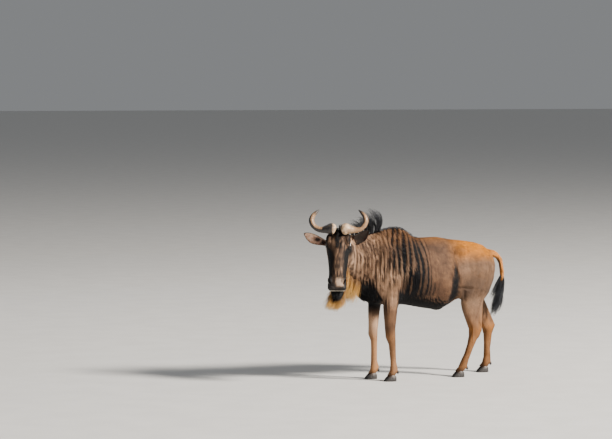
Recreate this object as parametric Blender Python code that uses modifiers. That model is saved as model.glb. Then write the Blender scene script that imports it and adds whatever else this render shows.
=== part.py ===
"""A blue wildebeest bull, life size, that stands still and looks to its left.

Metres, +Z up. The animal faces -Y and its left is +X. Sizes are written from the ground
under the withers as forward, left and up. At the end the whole model is moved, so that
the middle of its box stands on the origin.
"""

import math
import random

import bmesh
import bpy
from mathutils import Matrix, Vector
from mathutils.bvhtree import BVHTree

GAP = 0.0003  # between two nodes that touch
RING = 24  # points round a section of the flesh
HORN_RING = 12
BULK_VOXEL = 0.013  # of the body's bulk, whose muscles melt into one another
VOXEL = 0.0045  # of the whole flesh, before it is thinned
FINE_TRIANGLES = 9600  # of the whole flesh at the density that the head keeps
COARSE_TRIANGLES = 4300  # of the whole flesh at the density that the rest keeps
SEAT_GAP = 0.0004  # how far a seat's cutter is grown along its normals
BULK_ROUNDS = 12  # of smoothing
ROUNDS = 8

# Where the flesh is parted. A point is forward, left and up.
HEAD_CUT = (0.44, 0.0, 1.2)
HEAD_CUT_YAW = math.radians(40.0)
HEAD_CUT_LEAN = 0.08  # back toward the throat, for each metre down
NECK_CUT = (0.10, 0.0, 1.29)
NECK_CUT_AHEAD = (0.88, 0.47)  # forward and up along the cut's normal
TAIL_CUT = -0.985
FORELEG_CUT = (0.60, 0.60, 0.0)  # height at the middle plane, rise outward and rise to the rear
HINDLEG_CUT = (0.52, 0.55, 0.50)
LEG_CUT_INSIDE = 0.004  # from the middle plane
LEG_CUT_OUTSIDE = 0.35

LEFT = Vector((1.0, 0.0, 0.0))
FORWARD = Vector((0.0, -1.0, 0.0))
UP = Vector((0.0, 0.0, 1.0))

# The trunk's sections: forward, top, bottom, half width, narrowing toward the top.
WIDEST = 0.42  # height of the widest point, as a share of the section
TRUNK = (
    (0.35, 0.93, 0.735, 0.060, 0.10),
    (0.29, 1.08, 0.690, 0.112, 0.15),
    (0.20, 1.24, 0.650, 0.150, 0.35),
    (0.10, 1.285, 0.640, 0.168, 0.50),
    (0.00, 1.300, 0.635, 0.180, 0.55),
    (-0.10, 1.280, 0.632, 0.190, 0.50),
    (-0.20, 1.210, 0.614, 0.202, 0.35),
    (-0.31, 1.203, 0.594, 0.214, 0.28),
    (-0.43, 1.203, 0.583, 0.218, 0.25),
    (-0.55, 1.182, 0.628, 0.188, 0.22),
    (-0.66, 1.169, 0.690, 0.184, 0.20),
    (-0.77, 1.153, 0.735, 0.176, 0.24),
    (-0.87, 1.130, 0.780, 0.152, 0.30),
    (-0.95, 1.080, 0.840, 0.092, 0.30),
)

# The neck's sections: forward, left, height of the middle, half width, rise, drop, yaw.
NECK = (
    (0.10, 0.000, 1.02, 0.160, 0.262, 0.33, 0.0),
    (0.22, 0.000, 1.04, 0.140, 0.215, 0.34, 4.0),
    (0.32, 0.008, 1.05, 0.120, 0.195, 0.30, 12.0),
    (0.41, 0.026, 1.06, 0.104, 0.190, 0.24, 24.0),
    (0.48, 0.055, 1.08, 0.094, 0.182, 0.17, 38.0),
    (0.54, 0.085, 1.10, 0.085, 0.160, 0.11, 50.0),
)

# Muscles of one side: forward, left, up, then the three radii and a tilt in degrees.
MUSCLES = (
    (0.09, 0.100, 0.97, 0.125, 0.070, 0.205, -18.0),  # shoulder blade
    (0.05, 0.120, 0.84, 0.130, 0.066, 0.110, 25.0),  # upper arm
    (0.19, 0.085, 0.86, 0.085, 0.062, 0.110, 0.0),  # point of the shoulder
    (0.24, 0.045, 0.765, 0.085, 0.070, 0.095, 20.0),  # brisket
    (-0.61, 0.108, 1.075, 0.080, 0.052, 0.052, 0.0),  # point of the hip
    (-0.775, 0.094, 0.92, 0.188, 0.102, 0.172, 12.0),  # haunch
    (-0.905, 0.068, 0.94, 0.078, 0.058, 0.130, 0.0),  # buttock
    (-0.67, 0.112, 0.78, 0.125, 0.070, 0.150, -20.0),  # front of the thigh
)
SHEATH = (-0.455, 0.0, 0.590, 0.060, 0.026, 0.022, -14.0)

# Legs from the trunk down: forward, left, up, half depth, half width.
FORELEG_LEFT = (
    (0.060, 0.115, 0.860, 0.115, 0.060),
    (0.060, 0.125, 0.750, 0.090, 0.055),
    (0.088, 0.127, 0.650, 0.069, 0.049),
    (0.092, 0.126, 0.557, 0.059, 0.044),
    (0.090, 0.122, 0.465, 0.049, 0.038),
    (0.088, 0.120, 0.415, 0.046, 0.038),
    (0.084, 0.120, 0.378, 0.045, 0.038),
    (0.072, 0.120, 0.330, 0.034, 0.028),
    (0.064, 0.120, 0.250, 0.029, 0.023),
    (0.058, 0.120, 0.155, 0.029, 0.024),
    (0.052, 0.120, 0.098, 0.037, 0.032),
    (0.068, 0.120, 0.066, 0.029, 0.031),
    (0.084, 0.120, 0.036, 0.034, 0.034),
)
FORELEG_RIGHT = (
    (0.070, 0.115, 0.860, 0.110, 0.060),
    (0.075, 0.122, 0.750, 0.085, 0.055),
    (0.102, 0.122, 0.650, 0.060, 0.047),
    (0.112, 0.120, 0.557, 0.051, 0.042),
    (0.118, 0.118, 0.465, 0.043, 0.037),
    (0.123, 0.116, 0.415, 0.041, 0.037),
    (0.121, 0.116, 0.378, 0.040, 0.037),
    (0.114, 0.116, 0.330, 0.031, 0.027),
    (0.112, 0.116, 0.250, 0.028, 0.023),
    (0.110, 0.116, 0.155, 0.028, 0.024),
    (0.106, 0.116, 0.098, 0.037, 0.032),
    (0.122, 0.116, 0.066, 0.029, 0.031),
    (0.138, 0.116, 0.036, 0.034, 0.034),
)
HINDLEG_LEFT = (
    (-0.778, 0.110, 0.900, 0.180, 0.072),
    (-0.742, 0.125, 0.770, 0.154, 0.066),
    (-0.712, 0.128, 0.670, 0.120, 0.056),
    (-0.710, 0.124, 0.570, 0.086, 0.045),
    (-0.724, 0.118, 0.480, 0.058, 0.036),
    (-0.742, 0.114, 0.420, 0.048, 0.035),
    (-0.748, 0.112, 0.380, 0.050, 0.035),
    (-0.732, 0.112, 0.325, 0.040, 0.030),
    (-0.700, 0.112, 0.240, 0.031, 0.025),
    (-0.662, 0.112, 0.150, 0.030, 0.025),
    (-0.638, 0.112, 0.098, 0.037, 0.032),
    (-0.614, 0.112, 0.066, 0.030, 0.031),
    (-0.592, 0.112, 0.036, 0.035, 0.034),
)
HINDLEG_RIGHT = (
    (-0.800, 0.100, 0.900, 0.165, 0.072),
    (-0.825, 0.115, 0.780, 0.138, 0.066),
    (-0.866, 0.120, 0.680, 0.102, 0.056),
    (-0.912, 0.120, 0.590, 0.072, 0.045),
    (-0.964, 0.118, 0.495, 0.047, 0.037),
    (-1.008, 0.116, 0.425, 0.048, 0.035),
    (-1.022, 0.116, 0.385, 0.049, 0.035),
    (-1.026, 0.116, 0.330, 0.039, 0.030),
    (-1.024, 0.116, 0.240, 0.032, 0.025),
    (-1.022, 0.116, 0.150, 0.031, 0.025),
    (-1.018, 0.116, 0.098, 0.037, 0.032),
    (-0.998, 0.116, 0.066, 0.030, 0.031),
    (-0.978, 0.116, 0.036, 0.035, 0.034),
)
LEGS = (
    ("foreleg_left", FORELEG_LEFT, 1),
    ("foreleg_right", FORELEG_RIGHT, -1),
    ("hindleg_left", HINDLEG_LEFT, 1),
    ("hindleg_right", HINDLEG_RIGHT, -1),
)
UPPER_LEG = 5  # rows of a leg that melt into the bulk
THIGH, HOCK, FETLOCK = 2, 6, 10  # rows of a hind leg, and of any leg
HEEL_CORD = (0.020, 0.013)  # half depth and half width of the cord above the hock
HOCK_POINT = (-0.056, 0.026)  # forward and up from the middle of the hock
HOCK_CAP = (0.019, 0.022, 0.026)  # radii of the point of the hock

# The tail: forward, left, up, half depth, half width.
TAIL = (
    (-0.930, 0.000, 1.050, 0.040, 0.045),
    (-1.000, 0.000, 1.042, 0.030, 0.032),
    (-1.062, 0.000, 1.004, 0.023, 0.023),
    (-1.093, 0.000, 0.930, 0.020, 0.020),
    (-1.101, 0.000, 0.840, 0.018, 0.018),
    (-1.093, 0.000, 0.750, 0.017, 0.017),
    (-1.073, 0.000, 0.675, 0.013, 0.013),
    (-1.050, 0.000, 0.620, 0.008, 0.008),
)

# The head hangs from the poll. It is yawed to the animal's left, and its face line leans.
POLL = (0.566, 0.08, 1.28)
HEAD_YAW = math.radians(57.0)
FACE_LEAN = math.radians(22.0)

# The head's sections: distance along the face line, half width, front and back of the
# section out from that line, and how square it is.
SKULL = (
    (-0.030, 0.060, -0.040, -0.100, 2.2),
    (0.010, 0.096, -0.004, -0.150, 2.5),
    (0.055, 0.110, 0.012, -0.190, 2.5),
    (0.100, 0.111, 0.018, -0.215, 2.4),
    (0.150, 0.103, 0.020, -0.232, 2.3),
    (0.205, 0.092, 0.022, -0.225, 2.3),
    (0.265, 0.083, 0.026, -0.185, 2.3),
    (0.330, 0.075, 0.027, -0.140, 2.4),
    (0.390, 0.074, 0.024, -0.108, 2.6),
    (0.440, 0.078, 0.017, -0.090, 2.9),
    (0.478, 0.079, 0.005, -0.080, 3.0),
    (0.502, 0.072, -0.011, -0.072, 2.9),
    (0.515, 0.055, -0.025, -0.062, 2.6),
)
# The lower jaw: along, out, half width, half thickness.
JAW = (
    (0.210, -0.188, 0.060, 0.045),
    (0.300, -0.152, 0.054, 0.040),
    (0.390, -0.122, 0.050, 0.036),
    (0.475, -0.099, 0.054, 0.036),
    (0.528, -0.081, 0.051, 0.033),
    (0.562, -0.068, 0.034, 0.018),
)
# Soft forms of the face: along, out and side of the middle, then the radii to the side,
# along the face line and out from it.
FACE_FORMS = (
    (0.112, -0.052, 0.076, 0.027, 0.046, 0.042),  # round the eye
    (0.070, -0.026, 0.074, 0.032, 0.056, 0.034),  # brow
    (0.190, -0.150, 0.052, 0.038, 0.080, 0.062),  # cheek
    (0.300, -0.060, 0.050, 0.024, 0.120, 0.030),  # cheek ridge
    (0.428, -0.006, 0.052, 0.026, 0.036, 0.026),  # nostril
    (0.490, -0.031, 0.041, 0.038, 0.022, 0.034),  # upper lip
)

EYE = (0.112, -0.050, 0.088, 0.021)  # along, out, side, radius
LIDS = ((0.0062, 33.0), (0.0048, -37.0))  # half thickness, and degrees above the eye's middle
LID_REACH = 1.06  # how far out a lid lies, in radii of the eye

NOSTRIL = (0.442, 0.002, 0.062)  # along, out, side
NOSTRIL_RADII = (0.010, 0.025, 0.018)
NOSTRIL_TILT = math.radians(32.0)

MOUTH = (0.494, -0.050)  # along and out of the middle of the mouth
MOUTH_SLANT = math.radians(28.0)  # of the mouth's plane, from level across the face line
MOUTH_CORNER = math.radians(122.0)  # round from the middle of the lips
MOUTH_GROOVE = 0.0042

# One horn, from the poll: side, up, forward, half height, half depth.
HORN = (
    (0.031, 0.008, -0.002, 0.030, 0.036),
    (0.040, 0.011, 0.000, 0.044, 0.050),
    (0.064, 0.017, 0.002, 0.048, 0.054),
    (0.098, 0.014, 0.002, 0.036, 0.042),
    (0.132, 0.010, 0.000, 0.027, 0.030),
    (0.162, 0.013, -0.003, 0.024, 0.026),
    (0.194, 0.029, -0.006, 0.0225, 0.024),
    (0.218, 0.056, -0.010, 0.0230, 0.0235),
    (0.227, 0.090, -0.016, 0.0220, 0.0225),
    (0.216, 0.123, -0.025, 0.0192, 0.0190),
    (0.194, 0.149, -0.035, 0.0145, 0.0145),
    (0.165, 0.174, -0.046, 0.003, 0.003),
)

# The ears, from the poll: where they leave the head, and the tip of each.
EAR_ROOT = (0.088, -0.116, -0.072)  # side, up, forward
EAR_TIPS = {"left": (0.244, -0.004, -0.072), "right": (0.290, -0.026, -0.050)}
EAR_FACING = (0.20, -0.25, 1.0)  # side, up, forward
EAR_THICKNESS = 0.005
# The ear's cup: share of its length, half width, depth, how far round it curls, and sag.
EAR = (
    (0.00, 0.019, 0.022, 112.0, 0.000),
    (0.18, 0.026, 0.026, 112.0, 0.003),
    (0.40, 0.038, 0.027, 104.0, 0.008),
    (0.62, 0.044, 0.022, 90.0, 0.011),
    (0.82, 0.034, 0.015, 80.0, 0.008),
    (0.95, 0.016, 0.010, 75.0, 0.002),
    (1.00, 0.007, 0.007, 72.0, 0.000),
)
EAR_ARC = 5  # points across a face of the ear

# Locks of hair: their length and how much it varies, half width, half thickness.
MANE_COUNT = 21
MANE_LOCKS = (0.250, 0.030, 0.0155, 0.005)
MANE_SPAN = ((0.132, 0.0), (0.402, 0.016))  # forward and left of the first and last root
FORELOCK_COUNT = 5
FORELOCKS = (0.080, 0.02, 0.0095, 0.005)
BEARD_ROWS = 3  # between two points of the path, each of three locks
BEARD_LOCKS = (0.205, 0.025, 0.0210, 0.006)
# Forward and left of the beard's roots, from the throat to the chin.
BEARD_PATH = ((0.402, 0.060), (0.478, 0.052), (0.559, 0.122), (0.640, 0.192))
TUFT_COUNT = 14
TUFT_LOCKS = (0.205, 0.025, 0.0165, 0.006)
TUFT_SPAN = (0.86, 0.66)  # heights of the first and last root
LOCK_STEPS = 4
LOCK_SINK = 0.012
LOCK_SHAPE = (0.55, 1.0, 0.92, 0.62, 0.10)  # width at each step

HOOF_HEIGHT = 0.056
HOOF_LENGTH = 0.078
HOOF_WIDTH = 0.036
HOOF_APART = 0.021  # from the middle of the foot to the middle of a claw
# One claw from heel to toe: place along its length, then its width and height as shares.
CLAW = (
    (-0.5, 0.60, 0.75),
    (-0.3, 0.95, 0.95),
    (0.0, 1.00, 1.00),
    (0.3, 0.90, 0.72),
    (0.6, 0.60, 0.36),
    (0.7, 0.30, 0.20),
)
# Half of a claw's outline: out from its middle plane and up, as shares.
CLAW_OUTLINE = ((1.0, 0.0), (1.0, 0.4), (0.9, 0.8), (0.5, 1.0))
DEWCLAW = (0.011, 0.009, 0.015)  # radii
DEWCLAW_PLACE = (-0.028, 0.019, -0.024)  # forward, aside and up from the fetlock

# What a node is made of, by a word in its name: colour, then roughness.
MATERIALS = {
    "horn": ((0.16, 0.12, 0.09), 0.45),
    "hoof": ((0.03, 0.028, 0.026), 0.5),
    "dewclaw": ((0.05, 0.045, 0.04), 0.55),
    "eye": ((0.012, 0.009, 0.007), 0.08),
    "head": ((0.09, 0.065, 0.05), 0.8),
    "hide": ((0.19, 0.13, 0.09), 0.8),
}


def place(forward, left, up):
    return FORWARD * forward + LEFT * left + UP * up


HEAD_FORWARD = FORWARD * math.cos(HEAD_YAW) + LEFT * math.sin(HEAD_YAW)
HEAD_LEFT = LEFT * math.cos(HEAD_YAW) - FORWARD * math.sin(HEAD_YAW)
FACE_DOWN = HEAD_FORWARD * math.sin(FACE_LEAN) - UP * math.cos(FACE_LEAN)
FACE_OUT = HEAD_FORWARD * math.cos(FACE_LEAN) + UP * math.sin(FACE_LEAN)
POLL_POINT = place(*POLL)


def on_face(along, out, side):
    """A point of the head, from the poll along the face line, out from it and to its left."""
    return POLL_POINT + FACE_DOWN * along + FACE_OUT * out + HEAD_LEFT * side


def by_poll(side, up, forward):
    """A point of the head from the poll, along the head's own level directions."""
    return POLL_POINT + HEAD_LEFT * side + UP * up + HEAD_FORWARD * forward


def through(rows, steps):
    """Rows of numbers along a smooth curve that passes through the given rows."""
    last = len(rows) - 1
    found = []
    for i in range(last):
        four = (rows[max(i - 1, 0)], rows[i], rows[i + 1], rows[min(i + 2, last)])
        for k in range(steps):
            t = k / steps
            found.append([
                q + 0.5 * t * (r - p + t * (2 * p - 5 * q + 4 * r - s + t * (3 * (q - r) + s - p)))
                for p, q, r, s in zip(*four)
            ])
    found.append(list(rows[-1]))
    return found


def signed_power(value, power):
    return math.copysign(abs(value) ** power, value)


def section(centre, side, up, half_width, rise, drop, power=2.0, narrow=0.0, count=RING):
    """A closed ring, a superellipse with its own height above and below the centre."""
    ring = []
    for i in range(count):
        angle = math.tau * i / count
        across = signed_power(math.cos(angle), 2 / power)
        height = signed_power(math.sin(angle), 2 / power)
        width = half_width * (1 - narrow * max(height, 0))
        ring.append(centre + side * across * width + up * height * (rise if height > 0 else drop))
    return ring


def add_loft(mesh, rings):
    """Adds the closed tube through these rings."""
    rows = [[mesh.verts.new(point) for point in ring] for ring in rings]
    count = len(rows[0])
    faces = [mesh.faces.new(reversed(rows[0])), mesh.faces.new(rows[-1])]
    for row, after in zip(rows, rows[1:]):
        for i in range(count):
            j = (i + 1) % count
            faces.append(mesh.faces.new((row[i], row[j], after[j], after[i])))
    bmesh.ops.recalc_face_normals(mesh, faces=faces)


def add_ball(mesh, centre, axes, radii, sides=20):
    """Adds an ellipsoid whose radii lie along the three axes."""
    turn = Matrix((axes[0] * radii[0], axes[1] * radii[1], axes[2] * radii[2])).transposed()
    matrix = Matrix.Translation(centre) @ turn.to_4x4()
    made = bmesh.ops.create_uvsphere(mesh, u_segments=sides, v_segments=sides // 2, radius=1, matrix=matrix)
    faces = {face for vert in made["verts"] for face in vert.link_faces}
    bmesh.ops.recalc_face_normals(mesh, faces=list(faces))


def add_tube(mesh, centres, side, half_sides, half_fronts, power=2.0, count=RING):
    """Adds a tube along a path, its width kept along the given side direction."""
    rings = []
    last = len(centres) - 1
    for i, centre in enumerate(centres):
        ahead = (centres[min(i + 1, last)] - centres[max(i - 1, 0)]).normalized()
        across = (side - ahead * side.dot(ahead)).normalized()
        front = across.cross(ahead)
        half = half_fronts[i]
        rings.append(section(centre, across, front, half_sides[i], half, half, power, 0.0, count))
    add_loft(mesh, rings)


def add_trunk(mesh):
    rings = []
    for forward, top, bottom, half_width, narrow in through(TRUNK, 4):
        middle = bottom + (top - bottom) * WIDEST
        centre = place(forward, 0, middle)
        rings.append(section(centre, LEFT, UP, half_width, top - middle, middle - bottom, 2.3, narrow))
    add_loft(mesh, rings)


def add_neck(mesh):
    rings = []
    for forward, left, up, half_width, rise, drop, yaw in through(NECK, 4):
        turn = math.radians(yaw)
        side = LEFT * math.cos(turn) - FORWARD * math.sin(turn)
        rings.append(section(place(forward, left, up), side, UP, half_width, rise, drop, 2.1, 0.45))
    add_loft(mesh, rings)


def add_muscle(mesh, row, mirror):
    forward, left, up, long_radius, side_radius, high_radius, tilt = row
    turn = math.radians(tilt)
    ahead = FORWARD * math.cos(turn) + UP * math.sin(turn)
    above = UP * math.cos(turn) - FORWARD * math.sin(turn)
    centre = place(forward, left * mirror, up)
    add_ball(mesh, centre, (LEFT, ahead, above), (side_radius, long_radius, high_radius))


def add_leg(mesh, rows, mirror):
    rows = through(rows, 3)
    centres = [place(forward, left * mirror, up) for forward, left, up, *_ in rows]
    add_tube(mesh, centres, LEFT, [row[4] for row in rows], [row[3] for row in rows], 2.2)


def add_hock(mesh, rows, mirror):
    """The heel cord, from the back of the thigh to the point of the hock."""
    thigh, hock = rows[THIGH], rows[HOCK]
    start = place(thigh[0] - thigh[3] * 0.75, thigh[1] * mirror, thigh[2])
    end = place(hock[0] + HOCK_POINT[0], hock[1] * mirror, hock[2] + HOCK_POINT[1])
    centres = [start.lerp(end, t / 6) for t in range(7)]
    depths = [HEEL_CORD[0] * (1.5 - 0.6 * t / 6) for t in range(7)]
    add_tube(mesh, centres, LEFT, [HEEL_CORD[1]] * 7, depths)
    foot = place(hock[0] + HOCK_POINT[0] * 0.4, hock[1] * mirror, hock[2] - 0.05)
    centres = [end.lerp(foot, t / 3) for t in range(4)]
    add_tube(mesh, centres, LEFT, [0.018, 0.020, 0.021, 0.018], [0.020, 0.024, 0.024, 0.018])
    add_ball(mesh, end - UP * 0.004, (LEFT, FORWARD, UP), HOCK_CAP)


def add_tail(mesh):
    rows = through(TAIL, 4)
    centres = [place(forward, left, up) for forward, left, up, *_ in rows]
    add_tube(mesh, centres, LEFT, [row[4] for row in rows], [row[3] for row in rows])


def add_skull(mesh):
    rings = []
    for along, half_width, front, back, power in through(SKULL, 4):
        middle = back + (front - back) * 0.5
        centre = on_face(along, middle, 0)
        half = front - middle
        rings.append(section(centre, HEAD_LEFT, FACE_OUT, half_width, half, half, power, 0.18))
    add_loft(mesh, rings)


def add_jaw(mesh):
    rows = through(JAW, 3)
    centres = [on_face(along, out, 0) for along, out, *_ in rows]
    add_tube(mesh, centres, HEAD_LEFT, [row[2] for row in rows], [row[3] for row in rows], 2.3)


def add_head_forms(mesh):
    axes = (HEAD_LEFT, FACE_DOWN, FACE_OUT)
    for mirror in (1, -1):
        for along, out, side, *radii in FACE_FORMS:
            add_ball(mesh, on_face(along, out, side * mirror), axes, radii)
        for half, above in LIDS:
            add_lid(mesh, mirror, half, math.radians(above))


def add_lid(mesh, mirror, half, above):
    """A roll of skin over the front of the eye, from corner to corner."""
    along, out, side, radius = EYE
    middle = on_face(along, out, side * mirror)
    outward = (HEAD_LEFT * mirror + FACE_OUT * 0.35).normalized()
    ahead = (FACE_OUT - outward * FACE_OUT.dot(outward)).normalized()
    level = outward * math.cos(above) - FACE_DOWN * math.sin(above)
    centres = []
    for i in range(9):
        turn = math.radians(-80 + 20 * i)
        arm = level * math.cos(turn) + ahead * math.sin(turn)
        centres.append(middle + arm * radius * LID_REACH)
    add_tube(mesh, centres, FACE_DOWN, [half] * 9, [half] * 9, 2.0, 10)


def new_object(name, mesh_data):
    obj = bpy.data.objects.new(name, mesh_data)
    PARTS.objects.link(obj)
    return obj


def object_from(name, mesh):
    """An object from a bmesh, which is then freed. Its faces are split the one way for every use."""
    bmesh.ops.triangulate(mesh, faces=mesh.faces)
    data = bpy.data.meshes.new(name)
    mesh.to_mesh(data)
    mesh.free()
    return new_object(name, data)


def evaluated(obj, name=None):
    """The object's mesh with its modifiers applied. The object takes it, or a new one does."""
    graph = bpy.context.evaluated_depsgraph_get()
    data = bpy.data.meshes.new_from_object(obj.evaluated_get(graph))
    if name:
        return new_object(name, data)
    obj.modifiers.clear()
    obj.data = data
    return obj


def discard(*objects):
    for obj in objects:
        bpy.data.objects.remove(obj)


def melt(name, mesh, voxel, rounds):
    """Fuses the closed shapes of a bmesh into one surface and smooths where they meet."""
    flesh = object_from(name, mesh)
    remesh = flesh.modifiers.new("fuse", "REMESH")
    remesh.mode = "VOXEL"
    remesh.voxel_size = voxel
    smooth = flesh.modifiers.new("smooth", "SMOOTH")
    smooth.factor = 0.6
    smooth.iterations = rounds
    return evaluated(flesh)


def melt_bulk():
    """The trunk and neck with their muscles and the tops of the legs."""
    mesh = bmesh.new()
    add_trunk(mesh)
    add_neck(mesh)
    add_muscle(mesh, SHEATH, 1)
    for mirror in (1, -1):
        for row in MUSCLES:
            add_muscle(mesh, row, mirror)
    for _, rows, mirror in LEGS:
        add_leg(mesh, rows[:UPPER_LEG], mirror)
    return melt("bulk", mesh, BULK_VOXEL, BULK_ROUNDS)


def melt_flesh():
    """All the flesh as one closed surface, still at the voxels' density."""
    bulk = melt_bulk()
    mesh = bmesh.new()
    mesh.from_mesh(bulk.data)
    discard(bulk)
    for name, rows, mirror in LEGS:
        add_leg(mesh, rows[1:], mirror)
        if name.startswith("hind"):
            add_hock(mesh, rows, mirror)
    add_tail(mesh)
    add_skull(mesh)
    add_jaw(mesh)
    add_head_forms(mesh)
    return melt("flesh", mesh, VOXEL, ROUNDS)


def thinned(flesh, triangles, name):
    """A copy of the flesh with about this many triangles, densest where it curves most."""
    have = sum(len(face.vertices) - 2 for face in flesh.data.polygons)
    thin = flesh.modifiers.new("thin", "DECIMATE")
    thin.ratio = triangles / have
    copy = evaluated(flesh, name)
    flesh.modifiers.clear()
    return copy


def block(point, normal, across, half_across, half_deep, depth):
    """A box with one face on the point. The normal leaves that face, and the box lies behind."""
    normal = normal.normalized()
    across = (across - normal * across.dot(normal)).normalized()
    deep = normal.cross(across)
    turn = Matrix((across * half_across * 2, deep * half_deep * 2, normal * depth)).transposed()
    centre = point - normal * depth / 2
    mesh = bmesh.new()
    bmesh.ops.create_cube(mesh, size=1, matrix=Matrix.Translation(centre) @ turn.to_4x4())
    return object_from("cut", mesh)


def boolean(obj, other, operation, solver="EXACT"):
    modifier = obj.modifiers.new(operation, "BOOLEAN")
    modifier.operation = operation
    modifier.solver = solver
    modifier.object = other
    evaluated(obj)


def keep_largest(obj):
    """Keeps only the closed surface that holds most, so no scrap or sealed hollow stays."""
    mesh = bmesh.new()
    mesh.from_mesh(obj.data)
    left = set(mesh.faces)
    shells = []
    while left:
        shell = [left.pop()]
        for face in shell:
            for edge in face.edges:
                for near in edge.link_faces:
                    if near in left:
                        left.remove(near)
                        shell.append(near)
        shells.append(shell)
    shells.sort(key=lambda shell: sum(face.calc_area() for face in shell))
    for shell in shells[:-1]:
        bmesh.ops.delete(mesh, geom=shell, context="FACES")
    bmesh.ops.triangulate(mesh, faces=mesh.faces)
    mesh.to_mesh(obj.data)
    mesh.free()


def leg_block(mirror, front, back, cut, gap):
    """A block round one leg. Its top rises outward and to the rear by the cut's slopes."""
    height, outward, rearward = cut
    mesh = bmesh.new()
    bmesh.ops.create_cube(mesh, size=2)
    for vert in mesh.verts:
        left = LEG_CUT_INSIDE if vert.co.x * mirror < 0 else LEG_CUT_OUTSIDE
        forward = back if vert.co.y > 0 else front
        top = height + gap + outward * left + rearward * (front - forward)
        vert.co = place(forward, left * mirror, top if vert.co.z > 0 else -0.1)
    bmesh.ops.recalc_face_normals(mesh, faces=mesh.faces)
    return object_from("cut", mesh)


def cutters(gap):
    """The blocks that part the flesh, each moved out by the gap where it cuts."""
    ahead = FORWARD * math.cos(HEAD_CUT_YAW) + LEFT * math.sin(HEAD_CUT_YAW) - UP * HEAD_CUT_LEAN
    found = {"head": block(place(*HEAD_CUT) - ahead * gap, -ahead, UP, 0.8, 0.4, 0.7)}
    found["tail"] = block(place(TAIL_CUT + gap, 0, 0.9), FORWARD, UP, 0.6, 0.062, 0.3)
    for name, rows, mirror in LEGS:
        elbow = rows[1][0]
        if name.startswith("fore"):
            found[name] = leg_block(mirror, elbow + 0.2, elbow - 0.16, FORELEG_CUT, gap)
        else:
            found[name] = leg_block(mirror, -0.48, -1.15, HINDLEG_CUT, gap)
    ahead = FORWARD * NECK_CUT_AHEAD[0] + UP * NECK_CUT_AHEAD[1]
    found["neck"] = block(place(*NECK_CUT) - ahead * gap, -ahead, LEFT, 0.6, 0.8, 0.9)
    return found


def part_flesh(flesh):
    """Cuts the flesh into its nodes. The head is cut from a denser copy."""
    fine = thinned(flesh, FINE_TRIANGLES, "fine")
    rest = thinned(flesh, COARSE_TRIANGLES, "torso")
    discard(flesh)
    nodes = {}
    inner, outer = cutters(0), cutters(GAP)
    for name in inner:
        node = new_object(name, (fine if name == "head" else rest).data.copy())
        boolean(node, inner[name], "INTERSECT")
        keep_largest(node)
        nodes[name] = node
        boolean(rest, outer[name], "DIFFERENCE")
        keep_largest(rest)
    discard(fine, *inner.values(), *outer.values())
    nodes["torso"] = rest
    return nodes


def seat(host, guest):
    """Cuts from the host the place that the guest sinks into, with the gap all round."""
    grown = new_object("grown", guest.data.copy())
    mesh = bmesh.new()
    mesh.from_mesh(grown.data)
    mesh.normal_update()
    for vert in mesh.verts:
        vert.co += vert.normal * SEAT_GAP
    mesh.to_mesh(grown.data)
    mesh.free()
    boolean(host, grown, "DIFFERENCE")
    discard(grown)
    keep_largest(host)


def make_horn(name, mirror):
    rows = through(HORN, 2)
    centres = [by_poll(side * mirror, up, forward) for side, up, forward, *_ in rows]
    mesh = bmesh.new()
    depths, heights = [row[4] for row in rows], [row[3] for row in rows]
    add_tube(mesh, centres, HEAD_FORWARD, depths, heights, 2.0, HORN_RING)
    return object_from(name, mesh)


def make_eye(name, mirror):
    along, out, side, radius = EYE
    mesh = bmesh.new()
    axes = (HEAD_LEFT, FACE_DOWN, FACE_OUT)
    add_ball(mesh, on_face(along, out, side * mirror), axes, (radius,) * 3, 14)
    return object_from(name, mesh)


def ear_ring(centre, across, facing, half_width, depth, curl):
    """A crescent: the back of the cup one way round and its inside the other."""
    back, inside = [], []
    for i in range(EAR_ARC):
        turn = math.radians(curl) * (2 * i / (EAR_ARC - 1) - 1)
        for arc, thick in ((back, 0.0), (inside, EAR_THICKNESS)):
            sideways = across * (half_width - thick) * math.sin(turn)
            arc.append(centre + sideways - facing * (depth - thick) * math.cos(turn))
    return back + inside[::-1]


def make_ear(name, mirror):
    root = by_poll(EAR_ROOT[0] * mirror, *EAR_ROOT[1:])
    side, up, forward = EAR_TIPS[name.split("_")[1]]
    tip = by_poll(side * mirror, up, forward)
    ahead = (tip - root).normalized()
    facing = HEAD_LEFT * EAR_FACING[0] * mirror + UP * EAR_FACING[1] + HEAD_FORWARD * EAR_FACING[2]
    facing = (facing - ahead * facing.dot(ahead)).normalized()
    across = ahead.cross(facing)
    rings = [
        ear_ring(root.lerp(tip, share) + across * sag * mirror, across, facing, half_width, depth, curl)
        for share, half_width, depth, curl, sag in through(EAR, 2)
    ]
    mesh = bmesh.new()
    add_loft(mesh, rings)
    return object_from(name, mesh)


def make_claw(name, foot, mirror, side):
    """One of the two claws of a hoof, flat on the ground."""
    forward, left = foot[0], foot[1] * mirror + side * HOOF_APART
    outline = [(-x, z) for x, z in CLAW_OUTLINE] + list(CLAW_OUTLINE[::-1])
    rings = []
    for share, width, height in CLAW:
        base = place(forward + share * HOOF_LENGTH, left - side * max(share, 0) * 0.008, 0)
        across, above = LEFT * HOOF_WIDTH / 2 * width, UP * HOOF_HEIGHT * height
        rings.append([base + across * x + above * z for x, z in outline])
    mesh = bmesh.new()
    add_loft(mesh, rings)
    return object_from(name, mesh)


def make_dewclaw(name, rows, mirror, side):
    forward, left, up, *_ = rows[FETLOCK]
    back, aside, below = DEWCLAW_PLACE
    centre = place(forward + back, left * mirror + side * aside, up + below)
    mesh = bmesh.new()
    add_ball(mesh, centre, (FORWARD, LEFT, UP), DEWCLAW, 8)
    return object_from(name, mesh)


def surface_of(obj):
    mesh = bmesh.new()
    mesh.from_mesh(obj.data)
    tree = BVHTree.FromBMesh(mesh)
    mesh.free()
    return tree


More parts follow.
